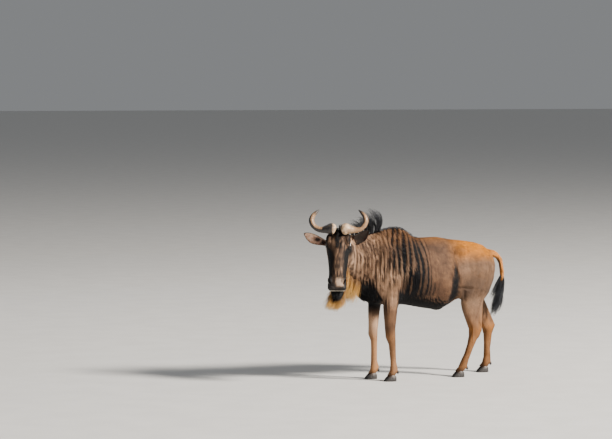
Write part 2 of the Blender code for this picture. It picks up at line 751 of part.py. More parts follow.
def cut_face_lines(head):
    """The line of the mouth and the two nostrils."""
    surface = surface_of(head)
    level = FACE_OUT * math.cos(MOUTH_SLANT) + FACE_DOWN * math.sin(MOUTH_SLANT)
    middle = on_face(*MOUTH, 0)
    lips = []
    for i in range(25):
        turn = MOUTH_CORNER * (i / 12 - 1)
        ray = level * math.cos(turn) + HEAD_LEFT * math.sin(turn)
        lips.append(surface.ray_cast(middle, ray)[0])
    mesh = bmesh.new()
    taper = [MOUTH_GROOVE * (1 - 0.75 * abs(i / 12 - 1) ** 4) for i in range(25)]
    add_tube(mesh, lips, level.cross(HEAD_LEFT), taper, [half * 2 for half in taper], 2.0, 8)
    cut = object_from("cut", mesh)
    boolean(head, cut, "DIFFERENCE")
    discard(cut)
    for mirror in (1, -1):
        along, out, side = NOSTRIL
        tilt = NOSTRIL_TILT * mirror
        slit = FACE_DOWN * math.cos(tilt) - HEAD_LEFT * math.sin(tilt)
        mesh = bmesh.new()
        axes = (slit.cross(FACE_OUT), slit, FACE_OUT)
        add_ball(mesh, on_face(along, out, side * mirror), axes, NOSTRIL_RADII, 12)
        cut = object_from("cut", mesh)
        boolean(head, cut, "DIFFERENCE")
        discard(cut)
    keep_largest(head)


def make_lock(root, start, end, side, sizes):
    """A flat lock that leaves its root one way and ends another. It tapers to its tip."""
    length, half_width, half_thickness = sizes
    centres = [root - start.normalized() * LOCK_SINK]
    for i in range(LOCK_STEPS):
        turn = (i + 0.5) / LOCK_STEPS
        centres.append(centres[-1] + start.lerp(end, turn).normalized() * length / LOCK_STEPS)
    mesh = bmesh.new()
    widths = [half_width * share for share in LOCK_SHAPE]
    thicks = [half_thickness * (0.35 + 0.65 * share) for share in LOCK_SHAPE]
    add_tube(mesh, centres, side, widths, thicks, 2.0, 4)
    return object_from("lock", mesh)


def lock_sizes(draw, sizes):
    """This lock's length, half width and half thickness, with the row's own variety."""
    length, vary, half_width, half_thickness = sizes
    return length + draw.uniform(-vary, vary), half_width * draw.uniform(0.8, 1.2), half_thickness


def fuse_locks(node, locks):
    """Joins the locks to the node that they grow from with one union."""
    group = bpy.data.collections.new("locks")
    for lock in locks:
        PARTS.objects.unlink(lock)
        group.objects.link(lock)
    modifier = node.modifiers.new("locks", "BOOLEAN")
    modifier.operation = "UNION"
    modifier.operand_type = "COLLECTION"
    modifier.solver = "MANIFOLD"
    modifier.collection = group
    bpy.context.scene.collection.children.link(group)
    evaluated(node)
    discard(*locks)
    bpy.data.collections.remove(group)
    keep_largest(node)


def mane_locks(neck):
    """Locks along the crest. They rise and arc forward, the rear ones highest."""
    draw = random.Random(11)
    surface = surface_of(neck)
    (rear_forward, rear_left), (front_forward, front_left) = MANE_SPAN
    locks = []
    for i in range(MANE_COUNT):
        share = i / (MANE_COUNT - 1)
        aside = (-1, 1, 0)[i % 3] * 0.011
        forward = rear_forward + (front_forward - rear_forward) * share
        left = rear_left + (front_left - rear_left) * share + aside
        root = surface.ray_cast(place(forward, left, 2.0), -UP)[0]
        lean = LEFT * (aside * 14 + draw.uniform(-0.12, 0.12))
        start = UP + FORWARD * (-0.75 + 0.80 * share) + lean
        end = FORWARD * 1.2 + UP * (0.35 - 0.55 * share) + lean * 2
        length, half_width, half_thickness = lock_sizes(draw, MANE_LOCKS)
        sizes = (length * (1 - 0.50 * share), half_width, half_thickness)
        side = UP - FORWARD + LEFT * draw.uniform(-0.8, 0.8)
        locks.append(make_lock(root, start, end, side, sizes))
    return locks


def forelocks(head):
    """Short locks between the horns, over the forehead."""
    draw = random.Random(23)
    surface = surface_of(head)
    locks = []
    for i in range(FORELOCK_COUNT):
        share = i / (FORELOCK_COUNT - 1)
        side = 0.008 * (-1) ** i
        root = surface.ray_cast(by_poll(side, 0.3, -0.045 + 0.055 * share), -UP)[0]
        start = UP * (1.2 - 0.7 * share) + HEAD_FORWARD * (0.3 + share) + HEAD_LEFT * side * 3
        end = FACE_DOWN * (0.2 + share) + HEAD_FORWARD * 0.5 + HEAD_LEFT * draw.uniform(-0.1, 0.1)
        locks.append(make_lock(root, start, end, HEAD_LEFT, lock_sizes(draw, FORELOCKS)))
    return locks


def beard_locks(head):
    """Locks from the throat along the jaw to the chin, blown forward as they hang."""
    draw = random.Random(37)
    surface = surface_of(head)
    rows = through(BEARD_PATH, BEARD_ROWS)
    locks = []
    for i in range(3 * len(rows)):
        share = (i // 3) / (len(rows) - 1)
        side = (-1, 0, 1)[i % 3] * 0.028 + draw.uniform(-0.005, 0.005)
        below = place(*rows[i // 3], 0.3) + HEAD_LEFT * side
        root = surface.ray_cast(below, UP)[0]
        start = HEAD_LEFT * side * 7 - UP + FORWARD * 0.3
        sweep = FORWARD * draw.uniform(0.5, 1.1) + HEAD_FORWARD * draw.uniform(-0.2, 0.2)
        length, half_width, half_thickness = lock_sizes(draw, BEARD_LOCKS)
        sizes = (length * (1 + 0.35 * share - 0.80 * share**2), half_width, half_thickness)
        across = HEAD_LEFT * draw.uniform(0.5, 1.0) + HEAD_FORWARD * draw.uniform(-0.8, 0.8)
        locks.append(make_lock(root, start, sweep - UP, across, sizes))
    return locks


def tuft_locks():
    """Long locks round the lower half of the dock, hanging to the tip of the tail."""
    draw = random.Random(53)
    rows = through(TAIL, 6)
    high, low = TUFT_SPAN
    locks = []
    for i in range(TUFT_COUNT):
        height = high + (low - high) * i / (TUFT_COUNT - 1)
        row = min(rows, key=lambda row: abs(row[2] - height) + (row[0] > -1.03))
        turn = i * 2.4
        outward = FORWARD * math.cos(turn) + LEFT * math.sin(turn)
        root = place(*row[:3]) + outward * row[3] * 0.4
        start = outward * 0.55 - UP + FORWARD * 0.1
        end = FORWARD * draw.uniform(0.40, 0.75) - outward * 0.25 - UP
        across = outward.cross(UP)
        locks.append(make_lock(root, start, end, across, lock_sizes(draw, TUFT_LOCKS)))
    return locks


def rest_on_origin(nodes):
    """Moves every node so that the middle of the model's box stands on the origin."""
    corners = [vert.co for node in nodes.values() for vert in node.data.vertices]
    low = Vector([min(corner[i] for corner in corners) for i in range(3)])
    high = Vector([max(corner[i] for corner in corners) for i in range(3)])
    shift = Vector((-(low.x + high.x) / 2, -(low.y + high.y) / 2, -low.z))
    for node in nodes.values():
        node.data.transform(Matrix.Translation(shift))
    return shift


def make_material(name, colour, roughness):
    material = bpy.data.materials.new(name)
    material.use_nodes = True
    shader = material.node_tree.nodes["Principled BSDF"]
    shader.inputs["Base Color"].default_value = (*colour, 1)
    shader.inputs["Roughness"].default_value = roughness
    material.diffuse_color = (*colour, 1)
    return material


def paint(nodes):
    """Gives each node the material of its kind."""
    kinds = {kind: make_material(kind, *look) for kind, look in MATERIALS.items()}
    for name, node in nodes.items():
        kind = next((kind for kind in kinds if kind in name), "hide")
        node.data.materials.clear()
        node.data.materials.append(kinds[kind])


def main():
    nodes = part_flesh(melt_flesh())
    head = nodes["head"]
    cut_face_lines(head)
    for label, mirror in (("left", 1), ("right", -1)):
        for make, kind in ((make_horn, "horn"), (make_ear, "ear"), (make_eye, "eye")):
            name = f"{kind}_{label}"
            nodes[name] = make(name, mirror)
            seat(head, nodes[name])
    fuse_locks(head, forelocks(head) + beard_locks(head))
    fuse_locks(nodes["neck"], mane_locks(nodes["neck"]))
    fuse_locks(nodes["tail"], tuft_locks())
    for leg, rows, mirror in LEGS:
        for label, side in (("inner", -mirror), ("outer", mirror)):
            name = leg.replace("leg", "_hoof") + "_" + label
            nodes[name] = make_claw(name, rows[-1], mirror, side)
            seat(nodes[leg], nodes[name])
            name = leg.replace("leg", "_dewclaw") + "_" + label
            nodes[name] = make_dewclaw(name, rows, mirror, side)
            seat(nodes[leg], nodes[name])
    paint(nodes)
    return rest_on_origin(nodes)


for old in list(bpy.data.objects):
    bpy.data.objects.remove(old)
PARTS = bpy.data.collections.new("wildebeest")
bpy.context.scene.collection.children.link(PARTS)
SHIFT = main()
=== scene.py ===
"""The looks of a blue wildebeest bull that stands still: one skin, its coat, mane, beard and tail
hair, its horns, ears, eyes and hooves, a pale floor, soft light and the camera.

Metres. Shapes are made where the animal faces -Y with the ground under its withers as the
origin, written as forward, left and up, and each is then moved into the frame of the solids.
"""

import math
import random

import bmesh
import bpy
import numpy as np
from mathutils import Matrix, Vector
from mathutils.bvhtree import BVHTree


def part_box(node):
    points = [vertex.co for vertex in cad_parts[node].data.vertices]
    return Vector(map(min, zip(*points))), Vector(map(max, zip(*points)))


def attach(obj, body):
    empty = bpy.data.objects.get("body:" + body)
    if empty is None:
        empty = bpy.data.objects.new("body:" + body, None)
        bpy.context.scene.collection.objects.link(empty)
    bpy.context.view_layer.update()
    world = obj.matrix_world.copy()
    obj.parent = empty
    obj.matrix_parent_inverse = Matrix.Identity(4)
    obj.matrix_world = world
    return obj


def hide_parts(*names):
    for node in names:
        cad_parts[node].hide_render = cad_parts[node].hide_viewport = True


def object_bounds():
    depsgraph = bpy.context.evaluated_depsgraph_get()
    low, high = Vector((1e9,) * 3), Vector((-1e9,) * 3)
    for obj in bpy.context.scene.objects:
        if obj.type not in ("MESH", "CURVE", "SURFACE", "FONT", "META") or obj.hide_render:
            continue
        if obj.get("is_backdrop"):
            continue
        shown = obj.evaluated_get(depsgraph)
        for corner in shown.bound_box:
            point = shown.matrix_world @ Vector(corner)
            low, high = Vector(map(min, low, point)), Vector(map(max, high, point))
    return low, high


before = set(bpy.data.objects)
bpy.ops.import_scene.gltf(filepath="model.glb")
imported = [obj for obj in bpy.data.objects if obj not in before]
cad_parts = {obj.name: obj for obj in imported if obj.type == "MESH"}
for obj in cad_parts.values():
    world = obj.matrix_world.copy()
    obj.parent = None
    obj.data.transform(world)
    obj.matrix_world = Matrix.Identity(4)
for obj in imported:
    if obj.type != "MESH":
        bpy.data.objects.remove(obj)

CAD_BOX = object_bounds()

RING = 40  # points round a section of the flesh
BULK_VOXEL = 0.012  # of the body's bulk, whose muscles melt into one another
VOXEL = 0.0033  # of the whole skin
BULK_ROUNDS = 14  # of smoothing
BODY_ROUNDS = 14
HEAD_ROUNDS = 5
SMOOTHING = 0.6  # how far each round moves a point toward its neighbours
SKIN_SHARE = 0.37  # of the skin's triangles that stay after thinning
THIN_BIAS = 4.0  # how strongly the thinning keeps to its weights

LEFT = Vector((1.0, 0.0, 0.0))
FORWARD = Vector((0.0, -1.0, 0.0))
UP = Vector((0.0, 0.0, 1.0))

# The trunk's sections: forward, top, bottom, half width, narrowing toward the top.
WIDEST = 0.42  # height of the widest point, as a share of the section
TRUNK = (
    (0.35, 0.93, 0.735, 0.060, 0.10),
    (0.29, 1.08, 0.690, 0.112, 0.15),
    (0.20, 1.24, 0.650, 0.150, 0.35),
    (0.10, 1.285, 0.640, 0.168, 0.50),
    (0.00, 1.300, 0.635, 0.180, 0.55),
    (-0.10, 1.280, 0.632, 0.190, 0.50),
    (-0.20, 1.210, 0.614, 0.202, 0.35),
    (-0.31, 1.203, 0.594, 0.214, 0.28),
    (-0.43, 1.203, 0.583, 0.218, 0.25),
    (-0.55, 1.182, 0.628, 0.188, 0.22),
    (-0.66, 1.169, 0.690, 0.184, 0.20),
    (-0.77, 1.153, 0.735, 0.176, 0.24),
    (-0.87, 1.130, 0.780, 0.152, 0.30),
    (-0.95, 1.080, 0.840, 0.092, 0.30),
)

# The neck's sections: forward, left, height of the middle, half width, rise, drop, yaw.
NECK = (
    (0.10, 0.000, 1.02, 0.160, 0.262, 0.33, 0.0),
    (0.22, 0.000, 1.04, 0.140, 0.215, 0.34, 4.0),
    (0.32, 0.008, 1.05, 0.120, 0.195, 0.30, 12.0),
    (0.41, 0.026, 1.06, 0.104, 0.190, 0.24, 24.0),
    (0.48, 0.055, 1.08, 0.094, 0.182, 0.17, 38.0),
    (0.54, 0.085, 1.10, 0.085, 0.160, 0.11, 50.0),
)

# Muscles of one side: forward, left, up, then the three radii and a tilt in degrees.
MUSCLES = (
    (0.09, 0.100, 0.97, 0.125, 0.070, 0.205, -18.0),  # shoulder blade
    (0.05, 0.120, 0.84, 0.130, 0.066, 0.110, 25.0),  # upper arm
    (0.19, 0.085, 0.86, 0.085, 0.062, 0.110, 0.0),  # point of the shoulder
    (0.24, 0.045, 0.765, 0.085, 0.070, 0.095, 20.0),  # brisket
    (-0.61, 0.108, 1.075, 0.080, 0.052, 0.052, 0.0),  # point of the hip
    (-0.775, 0.094, 0.92, 0.188, 0.102, 0.172, 12.0),  # haunch
    (-0.905, 0.068, 0.94, 0.078, 0.058, 0.130, 0.0),  # buttock
    (-0.67, 0.112, 0.78, 0.125, 0.070, 0.150, -20.0),  # front of the thigh
)
SHEATH = (-0.455, 0.0, 0.590, 0.060, 0.026, 0.022, -14.0)

# Legs from the trunk down: forward, left, up, half depth, half width.
FORELEG_LEFT = (
    (0.060, 0.115, 0.860, 0.115, 0.060),
    (0.060, 0.125, 0.750, 0.090, 0.055),
    (0.088, 0.127, 0.650, 0.069, 0.049),
    (0.092, 0.126, 0.557, 0.059, 0.044),
    (0.090, 0.122, 0.465, 0.049, 0.038),
    (0.088, 0.120, 0.415, 0.046, 0.038),
    (0.084, 0.120, 0.378, 0.045, 0.038),
    (0.072, 0.120, 0.330, 0.034, 0.028),
    (0.064, 0.120, 0.250, 0.029, 0.023),
    (0.058, 0.120, 0.155, 0.029, 0.024),
    (0.052, 0.120, 0.098, 0.037, 0.032),
    (0.068, 0.120, 0.066, 0.029, 0.031),
    (0.084, 0.120, 0.036, 0.034, 0.034),
)
FORELEG_RIGHT = (
    (0.070, 0.115, 0.860, 0.110, 0.060),
    (0.075, 0.122, 0.750, 0.085, 0.055),
    (0.102, 0.122, 0.650, 0.060, 0.047),
    (0.112, 0.120, 0.557, 0.051, 0.042),
    (0.118, 0.118, 0.465, 0.043, 0.037),
    (0.123, 0.116, 0.415, 0.041, 0.037),
    (0.121, 0.116, 0.378, 0.040, 0.037),
    (0.114, 0.116, 0.330, 0.031, 0.027),
    (0.112, 0.116, 0.250, 0.028, 0.023),
    (0.110, 0.116, 0.155, 0.028, 0.024),
    (0.106, 0.116, 0.098, 0.037, 0.032),
    (0.122, 0.116, 0.066, 0.029, 0.031),
    (0.138, 0.116, 0.036, 0.034, 0.034),
)
HINDLEG_LEFT = (
    (-0.778, 0.110, 0.900, 0.180, 0.072),
    (-0.742, 0.125, 0.770, 0.154, 0.066),
    (-0.712, 0.128, 0.670, 0.120, 0.056),
    (-0.710, 0.124, 0.570, 0.086, 0.045),
    (-0.724, 0.118, 0.480, 0.058, 0.036),
    (-0.742, 0.114, 0.420, 0.048, 0.035),
    (-0.748, 0.112, 0.380, 0.050, 0.035),
    (-0.732, 0.112, 0.325, 0.040, 0.030),
    (-0.700, 0.112, 0.240, 0.031, 0.025),
    (-0.662, 0.112, 0.150, 0.030, 0.025),
    (-0.638, 0.112, 0.098, 0.037, 0.032),
    (-0.614, 0.112, 0.066, 0.030, 0.031),
    (-0.592, 0.112, 0.036, 0.035, 0.034),
)
HINDLEG_RIGHT = (
    (-0.800, 0.100, 0.900, 0.165, 0.072),
    (-0.825, 0.115, 0.780, 0.138, 0.066),
    (-0.866, 0.120, 0.680, 0.102, 0.056),
    (-0.912, 0.120, 0.590, 0.072, 0.045),
    (-0.964, 0.118, 0.495, 0.047, 0.037),
    (-1.008, 0.116, 0.425, 0.048, 0.035),
    (-1.022, 0.116, 0.385, 0.049, 0.035),
    (-1.026, 0.116, 0.330, 0.039, 0.030),
    (-1.024, 0.116, 0.240, 0.032, 0.025),
    (-1.022, 0.116, 0.150, 0.031, 0.025),
    (-1.018, 0.116, 0.098, 0.037, 0.032),
    (-0.998, 0.116, 0.066, 0.030, 0.031),
    (-0.978, 0.116, 0.036, 0.035, 0.034),
)
LEGS = (
    ("foreleg_left", FORELEG_LEFT, 1),
    ("foreleg_right", FORELEG_RIGHT, -1),
    ("hindleg_left", HINDLEG_LEFT, 1),
    ("hindleg_right", HINDLEG_RIGHT, -1),
)
UPPER_LEG = 5  # rows of a leg that melt into the bulk
THIGH, HOCK, FETLOCK = 2, 6, 10  # rows of a hind leg, and of any leg
HEEL_CORD = (0.020, 0.013)  # half depth and half width of the cord above the hock
HOCK_POINT = (-0.056, 0.026)  # forward and up from the middle of the hock
HOCK_CAP = (0.019, 0.022, 0.026)  # radii of the point of the hock

# The tail: forward, left, up, half depth, half width.
TAIL = (
    (-0.930, 0.000, 1.050, 0.040, 0.045),
    (-1.000, 0.000, 1.042, 0.030, 0.032),
    (-1.062, 0.000, 1.004, 0.023, 0.023),
    (-1.093, 0.000, 0.930, 0.020, 0.020),
    (-1.101, 0.000, 0.840, 0.018, 0.018),
    (-1.093, 0.000, 0.750, 0.017, 0.017),
    (-1.073, 0.000, 0.675, 0.013, 0.013),
    (-1.050, 0.000, 0.620, 0.008, 0.008),
)

# The head hangs from the poll. It is yawed to the animal's left, and its face line leans.
POLL = (0.566, 0.08, 1.28)
HEAD_YAW = math.radians(57.0)
FACE_LEAN = math.radians(22.0)

# The head's sections: distance along the face line, half width, front and back of the
# section out from that line, and how square it is.
SKULL = (
    (-0.030, 0.060, -0.040, -0.100, 2.2),
    (0.010, 0.096, -0.004, -0.150, 2.5),
    (0.055, 0.110, 0.012, -0.190, 2.5),
    (0.100, 0.111, 0.018, -0.215, 2.4),
    (0.150, 0.103, 0.020, -0.232, 2.3),
    (0.205, 0.092, 0.022, -0.225, 2.3),
    (0.265, 0.083, 0.026, -0.185, 2.3),
    (0.330, 0.075, 0.027, -0.140, 2.4),
    (0.390, 0.074, 0.024, -0.108, 2.6),
    (0.440, 0.078, 0.017, -0.090, 2.9),
    (0.478, 0.079, 0.005, -0.080, 3.0),
    (0.502, 0.072, -0.011, -0.072, 2.9),
    (0.515, 0.055, -0.025, -0.062, 2.6),
)
# The lower jaw: along, out, half width, half thickness.
JAW = (
    (0.210, -0.188, 0.060, 0.045),
    (0.300, -0.152, 0.054, 0.040),
    (0.390, -0.122, 0.050, 0.036),
    (0.475, -0.099, 0.054, 0.036),
    (0.528, -0.081, 0.051, 0.033),
    (0.562, -0.068, 0.034, 0.018),
)
# Soft forms of the face: along, out and side of the middle, then the radii to the side,
# along the face line and out from it.
FACE_FORMS = (
    (0.112, -0.052, 0.076, 0.027, 0.046, 0.042),  # round the eye
    (0.070, -0.026, 0.074, 0.032, 0.056, 0.034),  # brow
    (0.190, -0.150, 0.052, 0.038, 0.080, 0.062),  # cheek
    (0.300, -0.060, 0.050, 0.024, 0.120, 0.030),  # cheek ridge
    (0.428, -0.006, 0.052, 0.026, 0.036, 0.026),  # nostril
    (0.490, -0.031, 0.041, 0.038, 0.022, 0.034),  # upper lip
)

EYE = (0.112, -0.050, 0.088, 0.021)  # along, out, side, radius
CORNEA = 0.05  # how far it bulges, in radii of the eye
PUPIL = (0.42, 0.20)  # half width and half height, in radii of the eye
LIDS = ((0.0062, 33.0), (0.0048, -37.0))  # half thickness, and degrees above the eye's middle
LID_REACH = 1.06  # how far out a lid lies, in radii of the eye

NOSTRIL = (0.442, 0.002, 0.062)  # along, out, side
NOSTRIL_RADII = (0.010, 0.025, 0.018)
NOSTRIL_TILT = math.radians(32.0)

MOUTH = (0.494, -0.050)  # along and out of the middle of the mouth
MOUTH_SLANT = math.radians(28.0)  # of the mouth's plane, from level across the face line
MOUTH_CORNER = math.radians(122.0)  # round from the middle of the lips
MOUTH_GROOVE = 0.0042
LIP_STEPS = 12  # from the middle of the lips to a corner

# One horn, from the poll: side, up, forward, half height, half depth.
HORN = (
    (0.031, 0.008, -0.002, 0.030, 0.036),
    (0.040, 0.011, 0.000, 0.044, 0.050),
    (0.064, 0.017, 0.002, 0.048, 0.054),
    (0.098, 0.014, 0.002, 0.036, 0.042),
    (0.132, 0.010, 0.000, 0.027, 0.030),
    (0.162, 0.013, -0.003, 0.024, 0.026),
    (0.194, 0.029, -0.006, 0.0225, 0.024),
    (0.218, 0.056, -0.010, 0.0230, 0.0235),
    (0.227, 0.090, -0.016, 0.0220, 0.0225),
    (0.216, 0.123, -0.025, 0.0192, 0.0190),
    (0.194, 0.149, -0.035, 0.0145, 0.0145),
    (0.165, 0.174, -0.046, 0.003, 0.003),
)
HORN_SIDES = 56
# How the height of a horn's side, its tube and its boss keep it from the painted shade of its side away
# from the key light.
HORN_SHADE = {"left": (-0.30, 0.16, 0.50), "right": (0.60, 0.12, -0.34)}

# The ears, as side, up and forward: where they leave the head, and the tip of each.
EAR_ROOT = (0.088, -0.116, -0.072)
EAR_TIPS = {"left": (0.244, -0.004, -0.072), "right": (0.290, -0.026, -0.050)}
EAR_FACING = (0.20, -0.25, 1.0)
EAR_PATCH = (0.088, -0.086, -0.037)  # the middle of the light fur before the left ear
EAR_THICKNESS = 0.005
# The ear's cup: share of its length, half width, depth, how far round it curls, and sag.
EAR = (
    (0.00, 0.019, 0.022, 112.0, 0.000),
    (0.18, 0.026, 0.026, 112.0, 0.003),
    (0.40, 0.038, 0.027, 104.0, 0.008),
    (0.62, 0.044, 0.022, 90.0, 0.011),
    (0.82, 0.034, 0.015, 80.0, 0.008),
    (0.95, 0.016, 0.010, 75.0, 0.002),
    (1.00, 0.007, 0.007, 72.0, 0.000),
)
EAR_SIDES = 17  # points across a face of the ear
# Painted shade over the inside of each ear: nearly all of the left ear's inside, hardly any of the right's.
EAR_INSIDE_SHADE = {"left": 0.985, "right": 0.06}  # how dark the inside of each is
EAR_HAIRS = (150000.0, 90000.0)  # to a square metre, outside and in the opening

# Locks of hair: their length and how much it varies, half width, half thickness.
MANE_COUNT = 21
MANE_LOCKS = (0.250, 0.030, 0.0155, 0.005)
MANE_SPAN = ((0.132, 0.0), (0.402, 0.016))  # forward and left of the first and last root
FORELOCK_COUNT = 5
FORELOCKS = (0.080, 0.02, 0.0095, 0.005)
BEARD_ROWS = 3  # between two points of the path, each of three locks
BEARD_LOCKS = (0.205, 0.025, 0.0210, 0.006)
# Forward and left of the beard's roots, from the throat to the chin.
BEARD_PATH = ((0.402, 0.060), (0.478, 0.052), (0.559, 0.122), (0.640, 0.192))
TUFT_COUNT = 14
TUFT_LOCKS = (0.205, 0.025, 0.0165, 0.006)
TUFT_SPAN = (0.86, 0.66)  # heights of the first and last root
RIDGE_COUNT = 26
BROW_COUNT = 30
CHIN_COUNT = 40

# The fine hairs of each lock: how many, half width, how loose they are, and the seed.
HAIRS = {
    "mane": (100, 0.0008, 0.36, 211),
    "ridge_hair": (40, 0.0008, 0.60, 212),
    "forelock": (70, 0.0008, 0.60, 223),
    "brow_hair": (40, 0.0005, 0.60, 229),
    "chin_hair": (26, 0.0005, 0.60, 231),
    "beard": (186, 0.00065, 1.00, 237),
    "tail_tuft": (130, 0.0009, 0.42, 253),
}
HAIR_STEPS = 6
HAIR_WAVE = 0.0070  # to the front and back
HAIR_SWAY = 0.012  # of a whole lock to the side
ROOT_BURIED = 0.010  # how deep below the root of its lock a hair may begin
ROOT_SLIDE = 0.10  # how far out along its lock it may begin, times the looseness over 0.6

HOOF_HEIGHT = 0.056
HOOF_LENGTH = 0.078
HOOF_WIDTH = 0.036
HOOF_APART = 0.021  # from the middle of the foot to the middle of a claw
# One claw from heel to toe: place along its length, then its width and height as shares.
CLAW = (
    (-0.5, 0.60, 0.75),
    (-0.3, 0.95, 0.95),
    (0.0, 1.00, 1.00),
    (0.3, 0.90, 0.72),
    (0.6, 0.60, 0.36),
    (0.7, 0.30, 0.20),
)
CLAW_ARC = 21  # points over the top of a claw
TOES_TURN = 0.008  # how far the tip of a claw turns in
DEWCLAW = (0.011, 0.009, 0.015)  # radii
DEWCLAW_PLACE = (-0.028, 0.019, -0.024)  # forward, aside and up from the fetlock

# The coat's tufts by region of the body.
REGIONS = ("body", "mantle", "head", "leg", "foot", "tail")
TUFT_LENGTH = (0.020, 0.036, 0.011, 0.012, 0.009, 0.016)
TUFT_HALF_WIDTH = (0.0015, 0.0009, 0.0008, 0.0010, 0.0009, 0.0011)
TUFT_RISE = (0.13, 0.12, 0.14, 0.12, 0.14, 0.16)
TUFTS_PER_METRE = (50000, 112000, 110000, 80000, 90000, 60000)  # square metre
COAT_DEPTH = (0.0025, 0.0050, 0.0015, 0.0015, 0.0012, 0.0020)
ROOT_SINK = 0.0008
FAR = 9.0  # beyond either end of the animal
UNCLEAR = 0.30  # where the coat's way along the surface is shorter than this, no tuft grows
PATCH = 0.003  # size of a tuft's own place on the map
FLOOR_CLEAR = 0.001  # how far above the ground all hair stays
WEIGHT_STEPS = 8  # weights are stored in steps of an eighth

STRIPE_SPACING = 0.046
RIDGE = 0.024  # half width of the dark line along the crest
FLANK_FOLD = -0.516  # how far forward the fold before the thigh is
FORE_END = (-0.25, -0.15)  # where the fore half of the body begins

# The photo's camera, from the withers' place on the ground.
CAMERA_AZIMUTH = math.radians(60.0)
CAMERA_DISTANCE = 21.3
CAMERA_HEIGHT = 2.43
CAMERA_ASIDE = math.radians(1.97)  # how far left of the withers it looks
CAMERA_DROP = math.radians(2.88)
CAMERA_LENS = 148.0
CAMERA_SENSOR = 36.0
CAMERA_REACH = 400.0

FLOOR_REACH = 300.0
LIT_HEIGHT = 0.8  # what the lights face, above the ground
# The lights: azimuth, elevation, distance, size, power and colour.
LIGHTS = (
    ("key", 127.0, 32.0, 30.0, 5.0, 29500.0, (1.0, 0.94, 0.86)),
    ("fill", 20.0, 35.0, 12.0, 8.0, 90.0, (1.0, 0.98, 0.96)),
    ("rim", 275.0, 40.0, 12.0, 6.0, 110.0, (0.92, 0.95, 1.0)),
)
SKY_COLOUR = (0.94, 0.97, 1.0)
SKY_STRENGTH = 0.24

# Colours.
BROWN_LIGHT = (0.225, 0.114, 0.058)
BROWN_DEEP = (0.095, 0.047, 0.025)
WARM = (0.700, 0.235, 0.010)
PALE = (0.640, 0.400, 0.250)
# Near black with a little blue: painted sky light in shade.
DARK = (0.0042, 0.0044, 0.0052)
BLACK = (0.0, 0.0, 0.0)
SKIN_SHADE = 0.25  # how much darker the skin is than the coat over it
COAT_VARIETY = (0.60, 1.40)  # of the darkest and the lightest tufts
BARE_DEEP = (0.012, 0.011, 0.011)
BARE_LIGHT = (0.030, 0.024, 0.022)
# A painted highlight, for the lower lip and the lit side of the nose pad.
LIP_HIGHLIGHT = (0.620, 0.580, 0.500)
MANE_BLACK = (0.012, 0.013, 0.017)
MANE_GREY = (0.024, 0.026, 0.033)
# Painted sheen on the tips of the black mane.
MANE_SHINE = (0.070, 0.080, 0.100)
DULL_BLACK = (0.007, 0.007, 0.008)
DULL_GREY = (0.016, 0.015, 0.016)
# A fainter painted sheen on the tips of the dull black hair.
DULL_TIP = (0.030, 0.028, 0.030)
BEARD_DEEP = (0.370, 0.180, 0.045)
BEARD_GOLD = (0.600, 0.310, 0.060)
BEARD_BROWN = (0.230, 0.120, 0.055)
BEARD_TIP = (0.840, 0.560, 0.200)
HORN_TAN = (0.370, 0.215, 0.110)
HORN_GRAIN = (0.200, 0.115, 0.060)
HORN_PALE = (0.640, 0.465, 0.300)
HORN_DARK = (0.012, 0.011, 0.012)
HOOF_BLACK = (0.022, 0.019, 0.018)
HOOF_BROWN = (0.110, 0.060, 0.036)
HOOF_LINE = (0.070, 0.055, 0.046)
EAR_PINK = (0.800, 0.540, 0.400)
EAR_TAN = (0.520, 0.320, 0.220)
EAR_HAIR = (0.720, 0.500, 0.360)
EYE_BROWN = (0.032, 0.014, 0.007)
EYE_BLACK = (0.004, 0.004, 0.005)
IRIS_BROWN = (0.044, 0.021, 0.010)
EYE_RIM = (0.020, 0.014, 0.012)
FLOOR_LIGHT = (0.700, 0.690, 0.670)
FLOOR_DEEP = (0.660, 0.650, 0.630)

PARTS = bpy.context.scene.collection


def place(forward, left, up):
    return FORWARD * forward + LEFT * left + UP * up


HEAD_FORWARD = FORWARD * math.cos(HEAD_YAW) + LEFT * math.sin(HEAD_YAW)
HEAD_LEFT = LEFT * math.cos(HEAD_YAW) - FORWARD * math.sin(HEAD_YAW)
FACE_DOWN = HEAD_FORWARD * math.sin(FACE_LEAN) - UP * math.cos(FACE_LEAN)
FACE_OUT = HEAD_FORWARD * math.cos(FACE_LEAN) + UP * math.sin(FACE_LEAN)
POLL_POINT = place(*POLL)


def on_face(along, out, side):
    """A point of the head, from the poll along the face line, out from it and to its left."""
    return POLL_POINT + FACE_DOWN * along + FACE_OUT * out + HEAD_LEFT * side


def by_poll(side, up, forward):
    """A point of the head from the poll, along the head's own level directions."""
    return POLL_POINT + HEAD_LEFT * side + UP * up + HEAD_FORWARD * forward


def through(rows, steps):
    """Rows of numbers along a smooth curve that passes through the given rows."""
    last = len(rows) - 1
    found = []
    for i in range(last):
        four = (rows[max(i - 1, 0)], rows[i], rows[i + 1], rows[min(i + 2, last)])
        for k in range(steps):
            t = k / steps
            found.append([
                q + 0.5 * t * (r - p + t * (2 * p - 5 * q + 4 * r - s + t * (3 * (q - r) + s - p)))
                for p, q, r, s in zip(*four)
            ])
    found.append(list(rows[-1]))
    return found


def signed_power(value, power):
    """The power of a number's size, with the number's own sign."""
    return math.copysign(abs(value) ** power, value)


def section(centre, side, up, half_width, rise, drop, power=2.0, narrow=0.0, count=RING):
    """A closed ring, a superellipse with its own height above and below the centre."""
    ring = []
    for i in range(count):
        angle = math.tau * i / count
        across = signed_power(math.cos(angle), 2 / power)
        height = signed_power(math.sin(angle), 2 / power)
        width = half_width * (1 - narrow * max(height, 0))
        ring.append(centre + side * across * width + up * height * (rise if height > 0 else drop))
    return ring


